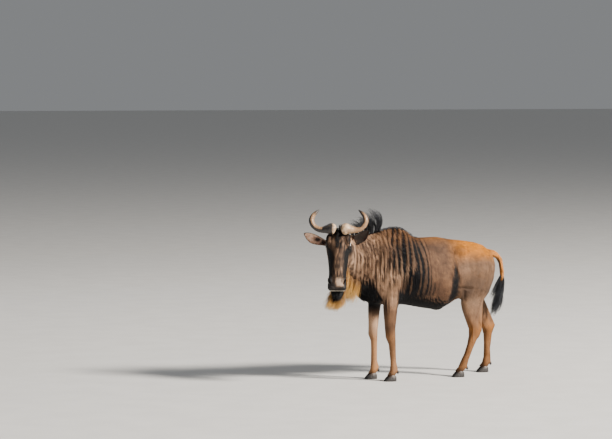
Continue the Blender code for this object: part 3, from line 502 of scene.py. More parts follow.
def add_loft(mesh, rings):
    """Adds the closed tube through these rings."""
    rows = [[mesh.verts.new(point) for point in ring] for ring in rings]
    count = len(rows[0])
    faces = [mesh.faces.new(reversed(rows[0])), mesh.faces.new(rows[-1])]
    for row, after in zip(rows, rows[1:]):
        for i in range(count):
            j = (i + 1) % count
            faces.append(mesh.faces.new((row[i], row[j], after[j], after[i])))
    bmesh.ops.recalc_face_normals(mesh, faces=faces)


def add_ball(mesh, centre, axes, radii, sides=20):
    """Adds an ellipsoid whose radii lie along the three axes."""
    turn = Matrix((axes[0] * radii[0], axes[1] * radii[1], axes[2] * radii[2])).transposed()
    matrix = Matrix.Translation(centre) @ turn.to_4x4()
    made = bmesh.ops.create_uvsphere(mesh, u_segments=sides, v_segments=sides // 2, radius=1, matrix=matrix)
    faces = {face for vert in made["verts"] for face in vert.link_faces}
    bmesh.ops.recalc_face_normals(mesh, faces=list(faces))


def add_tube(mesh, centres, side, half_sides, half_fronts, power=2.0, count=RING):
    """Adds a tube along a path, its width kept along the given side direction."""
    rings = []
    last = len(centres) - 1
    for i, centre in enumerate(centres):
        ahead = (centres[min(i + 1, last)] - centres[max(i - 1, 0)]).normalized()
        across = (side - ahead * side.dot(ahead)).normalized()
        front = across.cross(ahead)
        half = half_fronts[i]
        rings.append(section(centre, across, front, half_sides[i], half, half, power, 0.0, count))
    add_loft(mesh, rings)


def add_trunk(mesh):
    rings = []
    for forward, top, bottom, half_width, narrow in through(TRUNK, 4):
        middle = bottom + (top - bottom) * WIDEST
        centre = place(forward, 0, middle)
        rings.append(section(centre, LEFT, UP, half_width, top - middle, middle - bottom, 2.3, narrow))
    add_loft(mesh, rings)


def add_neck(mesh):
    rings = []
    for forward, left, up, half_width, rise, drop, yaw in through(NECK, 4):
        turn = math.radians(yaw)
        side = LEFT * math.cos(turn) - FORWARD * math.sin(turn)
        rings.append(section(place(forward, left, up), side, UP, half_width, rise, drop, 2.1, 0.45))
    add_loft(mesh, rings)


def add_muscle(mesh, row, mirror):
    """Adds one muscle, an ellipsoid tilted up or down toward the front."""
    forward, left, up, long_radius, side_radius, high_radius, tilt = row
    turn = math.radians(tilt)
    ahead = FORWARD * math.cos(turn) + UP * math.sin(turn)
    above = UP * math.cos(turn) - FORWARD * math.sin(turn)
    centre = place(forward, left * mirror, up)
    add_ball(mesh, centre, (LEFT, ahead, above), (side_radius, long_radius, high_radius))


def add_leg(mesh, rows, mirror):
    rows = through(rows, 3)
    centres = [place(forward, left * mirror, up) for forward, left, up, *_ in rows]
    add_tube(mesh, centres, LEFT, [row[4] for row in rows], [row[3] for row in rows], 2.2)


def add_hock(mesh, rows, mirror):
    """The heel cord, from the back of the thigh to the point of the hock."""
    thigh, hock = rows[THIGH], rows[HOCK]
    start = place(thigh[0] - thigh[3] * 0.75, thigh[1] * mirror, thigh[2])
    end = place(hock[0] + HOCK_POINT[0], hock[1] * mirror, hock[2] + HOCK_POINT[1])
    centres = [start.lerp(end, t / 6) for t in range(7)]
    depths = [HEEL_CORD[0] * (1.5 - 0.6 * t / 6) for t in range(7)]
    add_tube(mesh, centres, LEFT, [HEEL_CORD[1]] * 7, depths)
    foot = place(hock[0] + HOCK_POINT[0] * 0.4, hock[1] * mirror, hock[2] - 0.05)
    centres = [end.lerp(foot, t / 3) for t in range(4)]
    add_tube(mesh, centres, LEFT, [0.018, 0.020, 0.021, 0.018], [0.020, 0.024, 0.024, 0.018])
    add_ball(mesh, end - UP * 0.004, (LEFT, FORWARD, UP), HOCK_CAP)


def add_tail(mesh):
    rows = through(TAIL, 4)
    centres = [place(forward, left, up) for forward, left, up, *_ in rows]
    add_tube(mesh, centres, LEFT, [row[4] for row in rows], [row[3] for row in rows])


def add_skull(mesh):
    rings = []
    for along, half_width, front, back, power in through(SKULL, 4):
        middle = back + (front - back) * 0.5
        centre = on_face(along, middle, 0)
        half = front - middle
        rings.append(section(centre, HEAD_LEFT, FACE_OUT, half_width, half, half, power, 0.18))
    add_loft(mesh, rings)


def add_jaw(mesh):
    rows = through(JAW, 3)
    centres = [on_face(along, out, 0) for along, out, *_ in rows]
    add_tube(mesh, centres, HEAD_LEFT, [row[2] for row in rows], [row[3] for row in rows], 2.3)


def add_head_forms(mesh):
    axes = (HEAD_LEFT, FACE_DOWN, FACE_OUT)
    for mirror in (1, -1):
        for along, out, side, *radii in FACE_FORMS:
            add_ball(mesh, on_face(along, out, side * mirror), axes, radii)
        for half, above in LIDS:
            add_lid(mesh, mirror, half, math.radians(above))


def add_lid(mesh, mirror, half, above):
    """A roll of skin over the front of the eye, from corner to corner."""
    along, out, side, radius = EYE
    middle = on_face(along, out, side * mirror)
    outward = (HEAD_LEFT * mirror + FACE_OUT * 0.35).normalized()
    ahead = (FACE_OUT - outward * FACE_OUT.dot(outward)).normalized()
    level = outward * math.cos(above) - FACE_DOWN * math.sin(above)
    centres = []
    for i in range(9):
        turn = math.radians(-80 + 20 * i)
        arm = level * math.cos(turn) + ahead * math.sin(turn)
        centres.append(middle + arm * radius * LID_REACH)
    add_tube(mesh, centres, FACE_DOWN, [half] * 9, [half] * 9, 2.0, 10)


def new_object(name, mesh_data):
    obj = bpy.data.objects.new(name, mesh_data)
    PARTS.objects.link(obj)
    return obj


def object_from(name, mesh):
    """An object from a bmesh, which is then freed. Its faces are split the one way for every use."""
    bmesh.ops.triangulate(mesh, faces=mesh.faces)
    data = bpy.data.meshes.new(name)
    mesh.to_mesh(data)
    mesh.free()
    return new_object(name, data)


def evaluated(obj):
    """Applies the object's modifiers and gives the object back."""
    graph = bpy.context.evaluated_depsgraph_get()
    data = bpy.data.meshes.new_from_object(obj.evaluated_get(graph))
    obj.modifiers.clear()
    obj.data = data
    return obj


def carve(obj, mesh):
    """Cuts the closed shape of a bmesh out of an object."""
    cut = object_from("cut", mesh)
    modifier = obj.modifiers.new("cut", "BOOLEAN")
    modifier.operation = "DIFFERENCE"
    modifier.solver = "EXACT"
    modifier.object = cut
    evaluated(obj)
    discard(cut)


def discard(obj):
    bpy.data.objects.remove(obj)


def melt(name, mesh, voxel, rounds):
    """Fuses the closed shapes of a bmesh into one surface and smooths where they meet."""
    flesh = object_from(name, mesh)
    remesh = flesh.modifiers.new("fuse", "REMESH")
    remesh.mode = "VOXEL"
    remesh.voxel_size = voxel
    smooth = flesh.modifiers.new("smooth", "SMOOTH")
    smooth.factor = SMOOTHING
    smooth.iterations = rounds
    return evaluated(flesh)


def melt_bulk():
    """The trunk and neck with their muscles and the tops of the legs."""
    mesh = bmesh.new()
    add_trunk(mesh)
    add_neck(mesh)
    add_muscle(mesh, SHEATH, 1)
    for mirror in (1, -1):
        for row in MUSCLES:
            add_muscle(mesh, row, mirror)
    for _, rows, mirror in LEGS:
        add_leg(mesh, rows[:UPPER_LEG], mirror)
    return melt("bulk", mesh, BULK_VOXEL, BULK_ROUNDS)


def melt_flesh():
    """All the flesh as one closed surface, still at the voxels' density."""
    bulk = melt_bulk()
    mesh = bmesh.new()
    mesh.from_mesh(bulk.data)
    discard(bulk)
    for name, rows, mirror in LEGS:
        add_leg(mesh, rows[1:], mirror)
        if name.startswith("hind"):
            add_hock(mesh, rows, mirror)
    add_tail(mesh)
    add_skull(mesh)
    add_jaw(mesh)
    add_head_forms(mesh)
    return melt("flesh", mesh, VOXEL, 0)


def keep_largest(obj):
    """Keeps only the closed surface that holds most, so no scrap or sealed hollow stays."""
    mesh = bmesh.new()
    mesh.from_mesh(obj.data)
    left = set(mesh.faces)
    shells = []
    while left:
        shell = [left.pop()]
        for face in shell:
            for edge in face.edges:
                for near in edge.link_faces:
                    if near in left:
                        left.remove(near)
                        shell.append(near)
        shells.append(shell)
    shells.sort(key=lambda shell: sum(face.calc_area() for face in shell))
    for shell in shells[:-1]:
        bmesh.ops.delete(mesh, geom=shell, context="FACES")
    bmesh.ops.triangulate(mesh, faces=mesh.faces)
    mesh.to_mesh(obj.data)
    mesh.free()


def surface_of(obj):
    """The object's surface, for rays to meet."""
    mesh = bmesh.new()
    mesh.from_mesh(obj.data)
    tree = BVHTree.FromBMesh(mesh)
    mesh.free()
    return tree


def cut_mouth(head):
    """The line between the lips, widest in front."""
    surface = surface_of(head)
    level = FACE_OUT * math.cos(MOUTH_SLANT) + FACE_DOWN * math.sin(MOUTH_SLANT)
    middle = on_face(*MOUTH, 0)
    shares = [i / LIP_STEPS - 1 for i in range(2 * LIP_STEPS + 1)]
    lips = []
    for share in shares:
        turn = MOUTH_CORNER * share
        ray = level * math.cos(turn) + HEAD_LEFT * math.sin(turn)
        lips.append(surface.ray_cast(middle, ray)[0])
    taper = [MOUTH_GROOVE * (1 - 0.75 * abs(share) ** 4) for share in shares]
    mesh = bmesh.new()
    add_tube(mesh, lips, level.cross(HEAD_LEFT), taper, [half * 2 for half in taper], 2.0, 8)
    carve(head, mesh)


def cut_nostril(head, mirror):
    """A slanted oval hollow."""
    along, out, side = NOSTRIL
    tilt = NOSTRIL_TILT * mirror
    slit = FACE_DOWN * math.cos(tilt) - HEAD_LEFT * math.sin(tilt)
    axes = (slit.cross(FACE_OUT), slit, FACE_OUT)
    mesh = bmesh.new()
    add_ball(mesh, on_face(along, out, side * mirror), axes, NOSTRIL_RADII, 12)
    carve(head, mesh)


def ease(low, high, value):
    """0 on one side of low, 1 beyond high, and smooth between. Low may be the larger."""
    t = np.clip((value - low) / (high - low), 0, 1)
    return t * t * (3 - 2 * t)


def within(value, low, risen, full, gone):
    """0 below low, 1 between risen and full, 0 beyond gone, and smooth between."""
    return ease(low, risen, value) * ease(gone, full, value)


def bell(value, middle, half, power=2):
    """1 at the middle, about a third where it is half the breadth away, and soon 0."""
    return np.exp(-((value - middle) / half) ** power)


def unit(vectors):
    return vectors / np.maximum(np.linalg.norm(vectors, axis=1, keepdims=True), 1e-9)


def dot(a, b):
    return np.sum(a * b, axis=1, keepdims=True)


def waves(points, size, seed, count=6):
    """Smooth noise between about -1 and 1, whose forms are about this size."""
    draw = np.random.default_rng(seed)
    total = np.zeros(len(points))
    for _ in range(count):
        way = draw.normal(size=3)
        way *= math.tau / size / np.linalg.norm(way) * draw.uniform(0.7, 1.4)
        total += np.sin(points @ way + draw.uniform(0, math.tau))
    return total / math.sqrt(count) * 0.8


def spans(points):
    """How far forward, left and up each point is."""
    return -points[:, 1], points[:, 0], points[:, 2]


def in_head(points):
    """How far down the face, out from it and to its left each point is, from the poll."""
    arm = points - np.array(POLL_POINT)
    return arm @ np.array(FACE_DOWN), arm @ np.array(FACE_OUT), arm @ np.array(HEAD_LEFT)


def away_from(points, centre):
    """How far each point is from the centre."""
    return np.linalg.norm(points - np.array(centre), axis=1)


def head_share(points):
    """1 at points of the head, 0 beyond it and smooth between."""
    along, out, side = in_head(points)
    back = np.where(along < 0.24, -0.10 - 0.55 * along, -0.235)
    inside = ease(0.0, 0.035, out - back) * ease(0.17, 0.13, np.abs(side))
    return inside * ease(-0.09, -0.05, along)


def below_mouth(points):
    """How far below the mouth's plane each point is."""
    along, out, _ = in_head(points)
    return (along - MOUTH[0]) * math.cos(MOUTH_SLANT) - (out - MOUTH[1]) * math.sin(MOUTH_SLANT)


def regions(points):
    """The share of each region of the coat at each point. They add up to one."""
    forward, left, up = spans(points)
    head = head_share(points)
    tail = ease(-0.985, -1.01, forward) * ease(0.07, 0.05, np.abs(left)) * ease(0.5, 0.55, up)
    by_legs = np.maximum(ease(-0.04, 0.01, forward), ease(-0.54, -0.59, forward))
    low = ease(0.64, 0.50, up) * np.maximum(by_legs, ease(0.50, 0.45, up)) * (1 - head) * (1 - tail)
    foot = low * ease(0.16, 0.09, up)
    high = ease(0.70, 0.88, up + 0.5 * ease(0.16, 0.34, forward))
    mantle = ease(-0.27, 0.03, forward + 0.03 * waves(points, 0.25, 12)) * high * (1 - head) * (1 - low)
    found = {"head": head, "foot": foot, "leg": low - foot, "mantle": mantle, "tail": tail}
    found["body"] = np.clip(1 - sum(found.values()), 0, 1)
    return found


def by_region(shares, sizes):
    """The size at each point, from the sizes of the regions that share it."""
    return sum(shares[name] * size for name, size in zip(REGIONS, sizes))


def trunk_share(shares):
    """1 on the trunk and neck, which the body's coat and the mantle share."""
    return shares["body"] + shares["mantle"]


def leg_share(shares):
    return shares["leg"] + shares["foot"]


def hair_share(points):
    """1 where hair grows, and less to 0 on the nose, the lips and round the eyes."""
    along, _, _ = in_head(points)
    head = head_share(points)
    nose = ease(0.435, 0.475, along) * ease(0.012, 0.004, below_mouth(points)) * head
    found = 1 - 0.80 * nose
    for mirror in (1, -1):
        eye = away_from(points, on_face(*EYE[:2], EYE[2] * mirror))
        nostril = away_from(points, on_face(*NOSTRIL[:2], NOSTRIL[2] * mirror))
        found = found * ease(1.05, 1.75, eye / EYE[3]) * (0.1 + 0.9 * ease(0.018, 0.034, nostril))
    return found


def lie_of(points, normals):
    """The coat's way along the surface at each point, short where that is unclear."""
    forward, _, up = spans(points)
    shares = regions(points)
    back, down = -np.array(FORWARD), -np.array(UP)
    steep = 0.55 + 0.9 * ease(-0.55, -0.80, forward) * ease(1.08, 0.9, up)
    steep = steep + 2.4 * ease(-0.42, -0.15, forward) * ease(1.22, 1.12, up)
    flow = (back + down * steep[:, None]) * shares["body"][:, None]
    flow += (back * 0.20 + down * 1.2) * shares["mantle"][:, None]
    flow += np.array(FACE_DOWN - FACE_OUT * 0.3) * shares["head"][:, None]
    flow += (down + back * 0.12) * (leg_share(shares) + shares["tail"])[:, None]
    flow = unit(flow)
    swirl = 0.14 * waves(points, 0.22, 71) + 0.06 * waves(points, 0.05, 72)
    swirl = swirl + 0.10 * shares["mantle"] * hanging(points, 0.036, 73)
    flow += np.cross(normals, flow) * swirl[:, None]
    return flow - normals * dot(flow, normals)


def hanging(points, size, seed):
    """Smooth noise drawn out downward, as long hair hangs."""
    return waves(points * np.array((1.0, 1.0, 0.065)), size, seed, 12)


def strands_at(points):
    """0 in the creases between the mantle's hanging strands, and 1 on their crests."""
    return ease(-0.70, 0.75, 0.52 * hanging(points, 0.030, 3) + 0.56 * hanging(points, 0.012, 4))


def thigh_top(forward, up):
    """How far above the upper edge of the thigh a place is. The edge slants."""
    return up - 0.760 - 0.10 * (forward + 0.64)


def stripes_at(points):
    """How dark the wavy upright stripes of the shoulder and front flank are."""
    forward, _, up = spans(points)
    tall = points * np.array((1.0, 1.0, 0.20))
    wander = 0.022 * waves(tall, 0.40, 3) + 0.010 * waves(tall, 0.11, 4)
    wave = 0.5 + 0.5 * np.sin(math.tau * (forward + wander + 0.10 * (up - 1.0)) / STRIPE_SPACING)
    gaps = 0.20 + 0.52 * ease(0.02, 0.12, forward) + 0.62 * ease(-0.14, -0.36, forward)
    gaps = gaps + 0.30 * ease(1.10, 1.24, up) + 0.14 * waves(tall, 0.10, 13)
    stripe = ease(gaps - 0.16, gaps + 0.22, wave + 0.30 * hanging(points, 0.010, 5))
    reach = ease(-0.42, -0.22, forward + 0.05 * waves(points, 0.3, 6)) * ease(0.22, 0.08, forward)
    arm = ease(-0.035, 0.045, forward) * ease(0.98, 0.84, up)
    return stripe * reach * (1 - arm) * ease(0.62, 0.74, up) * trunk_share(regions(points))


def flank_shadow(points):
    """Painted shade in the fold before the thigh, wide below and thin toward the back, and in the creases
    at the thigh's upper edge and the stifle.
    """
    forward, left, up = spans(points)
    aside = np.abs(left)
    middle = FLANK_FOLD + 0.006 * waves(points, 0.10, 61) + 0.008 * hanging(points, 0.020, 64)
    breadth = 0.066 - 0.038 * ease(0.76, 0.94, up) - 0.014 * ease(0.92, 1.05, up)
    found = bell(forward, middle, breadth, 4) * within(up, 0.57, 0.62, 1.05, 1.17)
    found = found * ease(0.05, 0.10, aside) * (0.42 + 0.58 * ease(1.02, 0.90, up))
    hem = bell(thigh_top(forward, up), 0.0, 0.016) * within(forward, -0.76, -0.62, -0.58, -0.54)
    stifle = bell(forward, -0.612, 0.016) * within(up, 0.63, 0.67, 0.74, 0.77)
    return np.maximum(found, np.maximum(0.62 * hem, 0.66 * stifle) * ease(0.08, 0.12, aside))


def dark_trunk(points, shares, strand, broad):
    """The stripes, the black of belly, chest and crest, and painted shade in the coat's creases,
    under the haunch and in the fold before the thigh. The black under belly, chest and brisket
    is partly the hide's own and partly painted shade.

    Each mark is a product of soft edges. Their places are metres forward, left and up.
    """
    forward, left, up = spans(points)
    # Partly the hide's own black and partly painted shade: under the belly, below the chest and between the
    # forelegs.
    drape = 0.034 * hanging(points, 0.018, 10)
    edge = 0.785 - 0.32 * np.clip(-forward, 0, 0.4) + drape
    belly = ease(edge + 0.030, edge - 0.020, up) * within(forward, -0.60, -0.50, 0.03, 0.07)
    under = ease(0.67, 0.62, up) * within(forward, -0.62, -0.54, -0.03, 0.03)
    reach = 0.122 + 0.095 * ease(0.66, 0.84, up) + 0.5 * drape
    chest = ease(0.905, 0.820, up + 0.02 * broad + 1.6 * drape) * ease(reach - 0.01, reach + 0.045, forward)
    brisket = ease(0.68, 0.64, up) * ease(-0.10, 0.0, forward) * ease(0.10, 0.06, left)
    ridge = np.abs(left - 0.055 * ease(0.2, 0.5, forward))
    crest = ease(RIDGE, RIDGE * 0.4, ridge) * ease(1.12, 1.20, up) * ease(-0.22, -0.02, forward)
    mass = 0.62 * within(forward, -0.34, -0.16, 0.12, 0.27) * ease(0.98, 1.10, up)
    limit = 0.03 + 0.10 * ease(0.88, 1.00, up)
    between = within(forward, -0.36, -0.20, limit - 0.07, limit) * ease(0.66, 0.74, up)
    between = between * (0.50 + 0.20 * ease(0.96, 0.82, up))
    saddle = 0.34 * within(forward, -0.50, -0.38, -0.28, -0.16) * ease(1.00, 1.08, up)
    # Painted shade in the creases between the mantle's strands, and below the bulge of the haunch.
    creases = shares["mantle"] * (1 - strand) * (0.74 + 0.20 * ease(0.95, 0.8, up))
    haunch = within(up, 0.62, 0.73, 0.80, 0.92) * ease(-0.56, -0.64, forward)
    loose = ease(0.86, 0.94, up) * ease(-0.20, -0.30, forward) * ease(-0.5, 0.9, hanging(points, 0.020, 62))
    shade = 0.20 * ease(-0.16, -0.34, forward) + 0.42 * haunch + 0.24 * loose
    marks = [stripes_at(points), flank_shadow(points), belly, under, chest, brisket, crest, between, saddle]
    return np.maximum.reduce(marks + [creases, mass * (1.2 - 0.7 * strand), shade]) * trunk_share(shares)


def dark_limbs(points, shares, mottle):
    """The knees, painted shade at the top of the right foreleg, the coronets, and the tail's tuft and
    inside.
    """
    forward, left, up = spans(points)
    fore = ease(*FORE_END, forward)
    knee = ease(0.47, 0.40, up) * (0.10 + 0.10 * mottle)
    # Painted shade at the top of the right foreleg, under the body.
    inner = fore * ease(0.545, 0.600, up) * ease(0.02, -0.02, left)
    hoof = 0.70 * ease(0.085, 0.045, up)
    shaft = fore * ease(0.0, 0.04, left) * ease(0.36, 0.46, up) * (0.26 + 0.20 * hanging(points, 0.016, 33))
    inside = ease(-1.085, -1.075, forward) * ease(1.02, 0.97, up)
    legs = leg_share(shares) * np.maximum.reduce([knee, inner, hoof, shaft])
    return np.maximum(legs, shares["tail"] * np.maximum(ease(0.80, 0.74, up), inside))


def warm_at(points, shares, broad):
    """The orange of croup, dock and spine, and the warm shanks."""
    forward, left, up = spans(points)
    croup = 0.98 * ease(-0.42, -0.74, forward) * ease(0.95, 1.15, up + 0.03 * broad)
    withers = 0.20 * ease(0.30, 0.0, forward) * ease(1.12, 1.22, up)
    spine = 0.35 * ease(-0.20, -0.40, forward) * ease(1.17, 1.20, up)
    right = ease(*FORE_END, forward) * ease(-0.02, -0.06, left)
    shank = 0.16 * ease(0.52, 0.30, up) + 0.30 * right * ease(0.42, 0.25, up)
    hock = 0.36 * bell(up, 0.400, 0.034) * ease(-0.5, -0.6, forward)
    trunk = np.maximum.reduce([croup, withers, spine]) * trunk_share(shares)
    return np.maximum.reduce([trunk, dock_at(shares, up), leg_share(shares) * np.maximum(shank, hock)])


def dock_at(shares, up):
    """The tail above its tuft."""
    return 0.85 * shares["tail"] * ease(0.74, 0.82, up)


def pale_at(points, shares, strand):
    """The mantle's light strands, their crests partly painted highlight; the pale upper arm, partly painted
    light, and haunch; and the legs' light fronts, with painted light on the right forearm.
    """
    forward, left, up = spans(points)
    fore = ease(*FORE_END, forward)
    haunch = 0.24 * within(up, 0.62, 0.80, 0.94, 1.06) + 0.32 * ease(0.74, 0.64, up)
    haunch = haunch * ease(-0.50, -0.64, forward)
    # Partly the strands' own lighter hair and partly painted highlight on their crests.
    light = 0.66 * shares["mantle"] * strand**1.6
    light = light * (1 - 0.55 * ease(0.25, 0.10, forward) * ease(0.98, 1.08, up))
    # Partly the upper arm's own greyer coat and partly painted light where the key falls on it.
    arm = 0.56 * within(forward, -0.02, 0.06, 0.15, 0.24) * ease(1.02, 0.84, up)
    arm = arm * (0.75 + 0.35 * hanging(points, 0.016, 63)) * ease(0.58, 0.70, up)
    # Painted light where the key falls on the right forearm, over its own pinkish tan; less below the knee.
    pale_lit_shin = 0.95 * fore * ease(-0.02, -0.06, left) * ease(0.60, 0.54, up)
    pale_lit_shin = pale_lit_shin * (0.42 + 0.58 * ease(0.32, 0.46, up))
    cannon = 0.16 * fore * ease(0.40, 0.30, up)
    thigh = 0.45 * ease(-0.5, -0.6, forward) * ease(0.50, 0.60, up)
    trunk = trunk_share(shares) * np.maximum.reduce([haunch, light, arm])
    return np.maximum(trunk, leg_share(shares) * np.maximum.reduce([pale_lit_shin, cannon, thigh]))


def markings(points):
    """How dark, warm and pale the hide is at each point, where it carries painted highlight, and how bare
    it is. Its dark and pale hold painted shade and light besides the hide's own colours.
    """
    shares = regions(points)
    head = shares["head"]
    broad, mottle = waves(points, 0.30, 8), waves(points, 0.06, 9)
    strand = strands_at(points)
    forward, _, up = spans(points)
    face, face_pale, painted_highlight, hairy = face_marks(points, strand, mottle)
    dark = dark_trunk(points, shares, strand, broad) * (1 - head) + face * head
    dark = np.maximum(dark, dark_limbs(points, shares, mottle))
    pale = np.maximum(pale_at(points, shares, strand), head * face_pale) * (0.80 + 0.20 * broad)
    return {
        "dark": np.clip(dark + 0.04 * mottle * (1 - ease(*FORE_END, forward)), 0, 1),
        "warm": warm_at(points, shares, broad),
        "pale": np.clip(np.maximum(pale, 0.20 * dock_at(shares, up)), 0, 1),
        "painted_highlight": painted_highlight * head,
        "bare": np.clip(1.15 - hair_share(points) * 1.4, 0, 1) * head * hairy,
    }


def face_marks(points, strand, mottle):
    """How dark and pale the head is, where painted highlight lies on the lip and the lit nose pad, and how
    far it may be bare: not on those. Its right side gets painted shade.

    The soft edges of its marks lie along the face line, out from it and to its side.
    """
    along, out, side = in_head(points)
    front = ease(-0.100, -0.060, out)
    drawn = np.stack([along * 0.07, out, side], axis=1)
    streaks = 0.8 * waves(drawn, 0.0060, 31, 12) + 0.5 * waves(drawn, 0.015, 32, 12) + 0.3 * mottle
    streaks = ease(-1.0, 1.2, streaks)
    wide = 0.036 + 0.043 * ease(0.19, 0.11, along) + 0.007 * waves(drawn, 0.010, 35, 12)
    bridge = ease(wide + 0.022, wide, np.abs(side)) * ease(0.02, 0.08, along)
    # Painted shade on the animal's right side of the face, where the bridge's streaks pale it less.
    far = ease(-0.010, -0.040, side) * ease(0.10, 0.16, along)
    tan = bell(side, -0.036, 0.020) * bell(along, 0.115, 0.052) * (0.55 + 0.45 * streaks)
    # Painted light on the left half of the nose pad, where the key falls.
    ragged = 0.0035 * waves(points, 0.024, 34)
    pad = within(along + ragged, 0.400, 0.440, 0.474, 0.500)
    pad = pad * ease(-0.022, 0.008, side + ragged) * ease(0.066, 0.048, side - ragged)
    beneath = below_mouth(points)
    chin = ease(0.004, 0.012, beneath) * ease(-0.30, -0.10, out)
    # Painted highlight along the lower lip.
    lip = bell(beneath, 0.0080, 0.0048) * ease(-0.075, -0.045, out) * (0.75 + 0.25 * mottle)
    patch = ease(0.048, 0.024, away_from(points, by_poll(*EAR_PATCH)))
    dark = (1.0 - bridge * (0.14 + 0.60 * streaks) * (1 - 0.75 * far)) * (1 - 0.85 * tan) * front
    dark = dark + (0.16 + 0.50 * (1 - strand)) * (1 - front)
    dark = np.maximum(dark * (1 - 0.95 * pad) * (1 - 0.85 * patch), chin) * (1 - 0.95 * lip)
    cheek = (1 - front) * (0.26 + 0.50 * strand)
    pale = np.maximum.reduce([1.25 * pad, cheek, 0.42 * bridge * streaks, patch, 0.85 * tan])
    return dark, pale, 0.9 * lip + 0.20 * pad, (1 - 0.95 * pad) * (1 - 0.95 * lip)


def relief(points):
    """How far the skin sinks at its creases and between its muscles."""
    forward, left, up = spans(points)
    shares = regions(points)
    under = within(thigh_top(forward, up), -0.20, -0.06, -0.015, 0.025)
    under = under * within(forward, -0.90, -0.76, -0.60, -0.52)
    blade = bell(forward + 0.12 * (up - 0.9), -0.03, 0.024) * within(up, 0.70, 0.80, 1.0, 1.12)
    found = (0.013 * flank_shadow(points) + 0.008 * under + 0.006 * blade) * ease(0.03, 0.08, np.abs(left))
    folds = 0.0040 * shares["mantle"] + 0.0008 * shares["body"]
    gaps = 0.0055 * shares["mantle"] * (1 - strands_at(points))
    return found * trunk_share(shares) + folds * stripes_at(points) + gaps


def mesh_points(obj):
    points = np.empty(len(obj.data.vertices) * 3, np.float32)
    obj.data.vertices.foreach_get("co", points)
    return points.reshape(-1, 3).astype(float)


def mesh_normals(obj):
    normals = np.empty(len(obj.data.vertices) * 3, np.float32)
    obj.data.vertex_normals.foreach_get("vector", normals)
    return normals.reshape(-1, 3).astype(float)


def set_points(obj, points):
    obj.data.vertices.foreach_set("co", points.astype(np.float32).ravel())
    obj.data.update()


def set_values(data, values):
    """Stores one number for each vertex under each name."""
    for name, numbers in values.items():
        layer = data.attributes.new(name, "FLOAT", "POINT")
        layer.data.foreach_set("value", np.asarray(numbers, np.float32))


def stored(obj, name):
    """The number that each vertex has under a name."""
    numbers = np.empty(len(obj.data.vertices), np.float32)
    obj.data.attributes[name].data.foreach_get("value", numbers)
    return numbers


def shade_smooth(obj):
    obj.data.polygons.foreach_set("use_smooth", np.ones(len(obj.data.polygons), bool))


def mesh_from(name, points, triangles, values, spots):
    """An object from arrays. Spots are one place on the map for each corner of each triangle."""
    data = bpy.data.meshes.new(name)
    data.vertices.add(len(points))
    data.vertices.foreach_set("co", points.astype(np.float32).ravel())
    data.loops.add(triangles.size)
    data.loops.foreach_set("vertex_index", triangles.astype(np.int32).ravel())
    data.polygons.add(len(triangles))
    data.polygons.foreach_set("loop_start", np.arange(0, triangles.size, 3, dtype=np.int32))
    data.update(calc_edges=True)
    set_values(data, values)
    layer = data.uv_layers.new(name="OFBake")
    layer.data.foreach_set("uv", spots.astype(np.float32).ravel())
    obj = new_object(name, data)
    shade_smooth(obj)
    return obj


def strands(roots, starts, ends, sides, lengths, widths, thicks, steps):
    """Tapered strands of three sides that leave their roots one way and end another.

    Returns their points by strand, the triangles of one, and how far along it each point is.
    """
    centre = roots
    rings = []
    for k in range(steps):
        turn = k / steps
        ahead = unit(starts * (1 - turn) + ends * turn)
        across = unit(sides - ahead * dot(sides, ahead))
        front = np.cross(across, ahead)
        share = min(0.7 + 1.2 * turn, 1.0) * (1 - 0.85 * turn ** 2)
        wide = across * (widths * share)[:, None]
        thick = front * (thicks * share)[:, None]
        rings += [centre - wide, centre + wide, centre + thick]
        turn = (k + 0.5) / steps
        centre = centre + unit(starts * (1 - turn) + ends * turn) * (lengths / steps)[:, None]
    points = np.stack(rings + [centre], axis=1)
    triangles = [(0, 1, 2)]
    for k in range(steps - 1):
        for i in range(3):
            a, b = k * 3 + i, k * 3 + (i + 1) % 3
            triangles += [(a, a + 3, b + 3), (a, b + 3, b)]
    last = 3 * (steps - 1)
    triangles += [(last + i, 3 * steps, last + (i + 1) % 3) for i in range(3)]
    along = np.array([k / steps for k in range(steps) for _ in range(3)] + [1.0])
    return points, np.array(triangles), along


def grown(name, made, values, places, normals=None):
    """One mesh of many strands. Each keeps its values, and its small patch of the map."""
    points, triangles, along = made
    count, each, _ = points.shape
    points[:, :, 2] = np.maximum(points[:, :, 2], FLOOR_CLEAR)
    faces = (triangles[None] + (np.arange(count) * each)[:, None, None]).reshape(-1, 3)
    spread = {key: np.repeat(numbers, each) for key, numbers in values.items()}
    spread["tip"] = np.tile(along, count)
    corner = np.stack([(along - 0.5) * PATCH, (np.arange(each) % 3 - 1) * PATCH / 2], axis=1)
    spots = (places[:, None, :] + corner[None]).reshape(-1, 2)[faces.ravel()]
    obj = mesh_from(name, points.reshape(-1, 3), faces, spread, spots)
    if normals is not None:
        layer = obj.data.attributes.new("custom_normal", "FLOAT_VECTOR", "POINT")
        layer.data.foreach_set("vector", np.repeat(normals, each, axis=0).astype(np.float32).ravel())
        obj.data.update()
    return obj


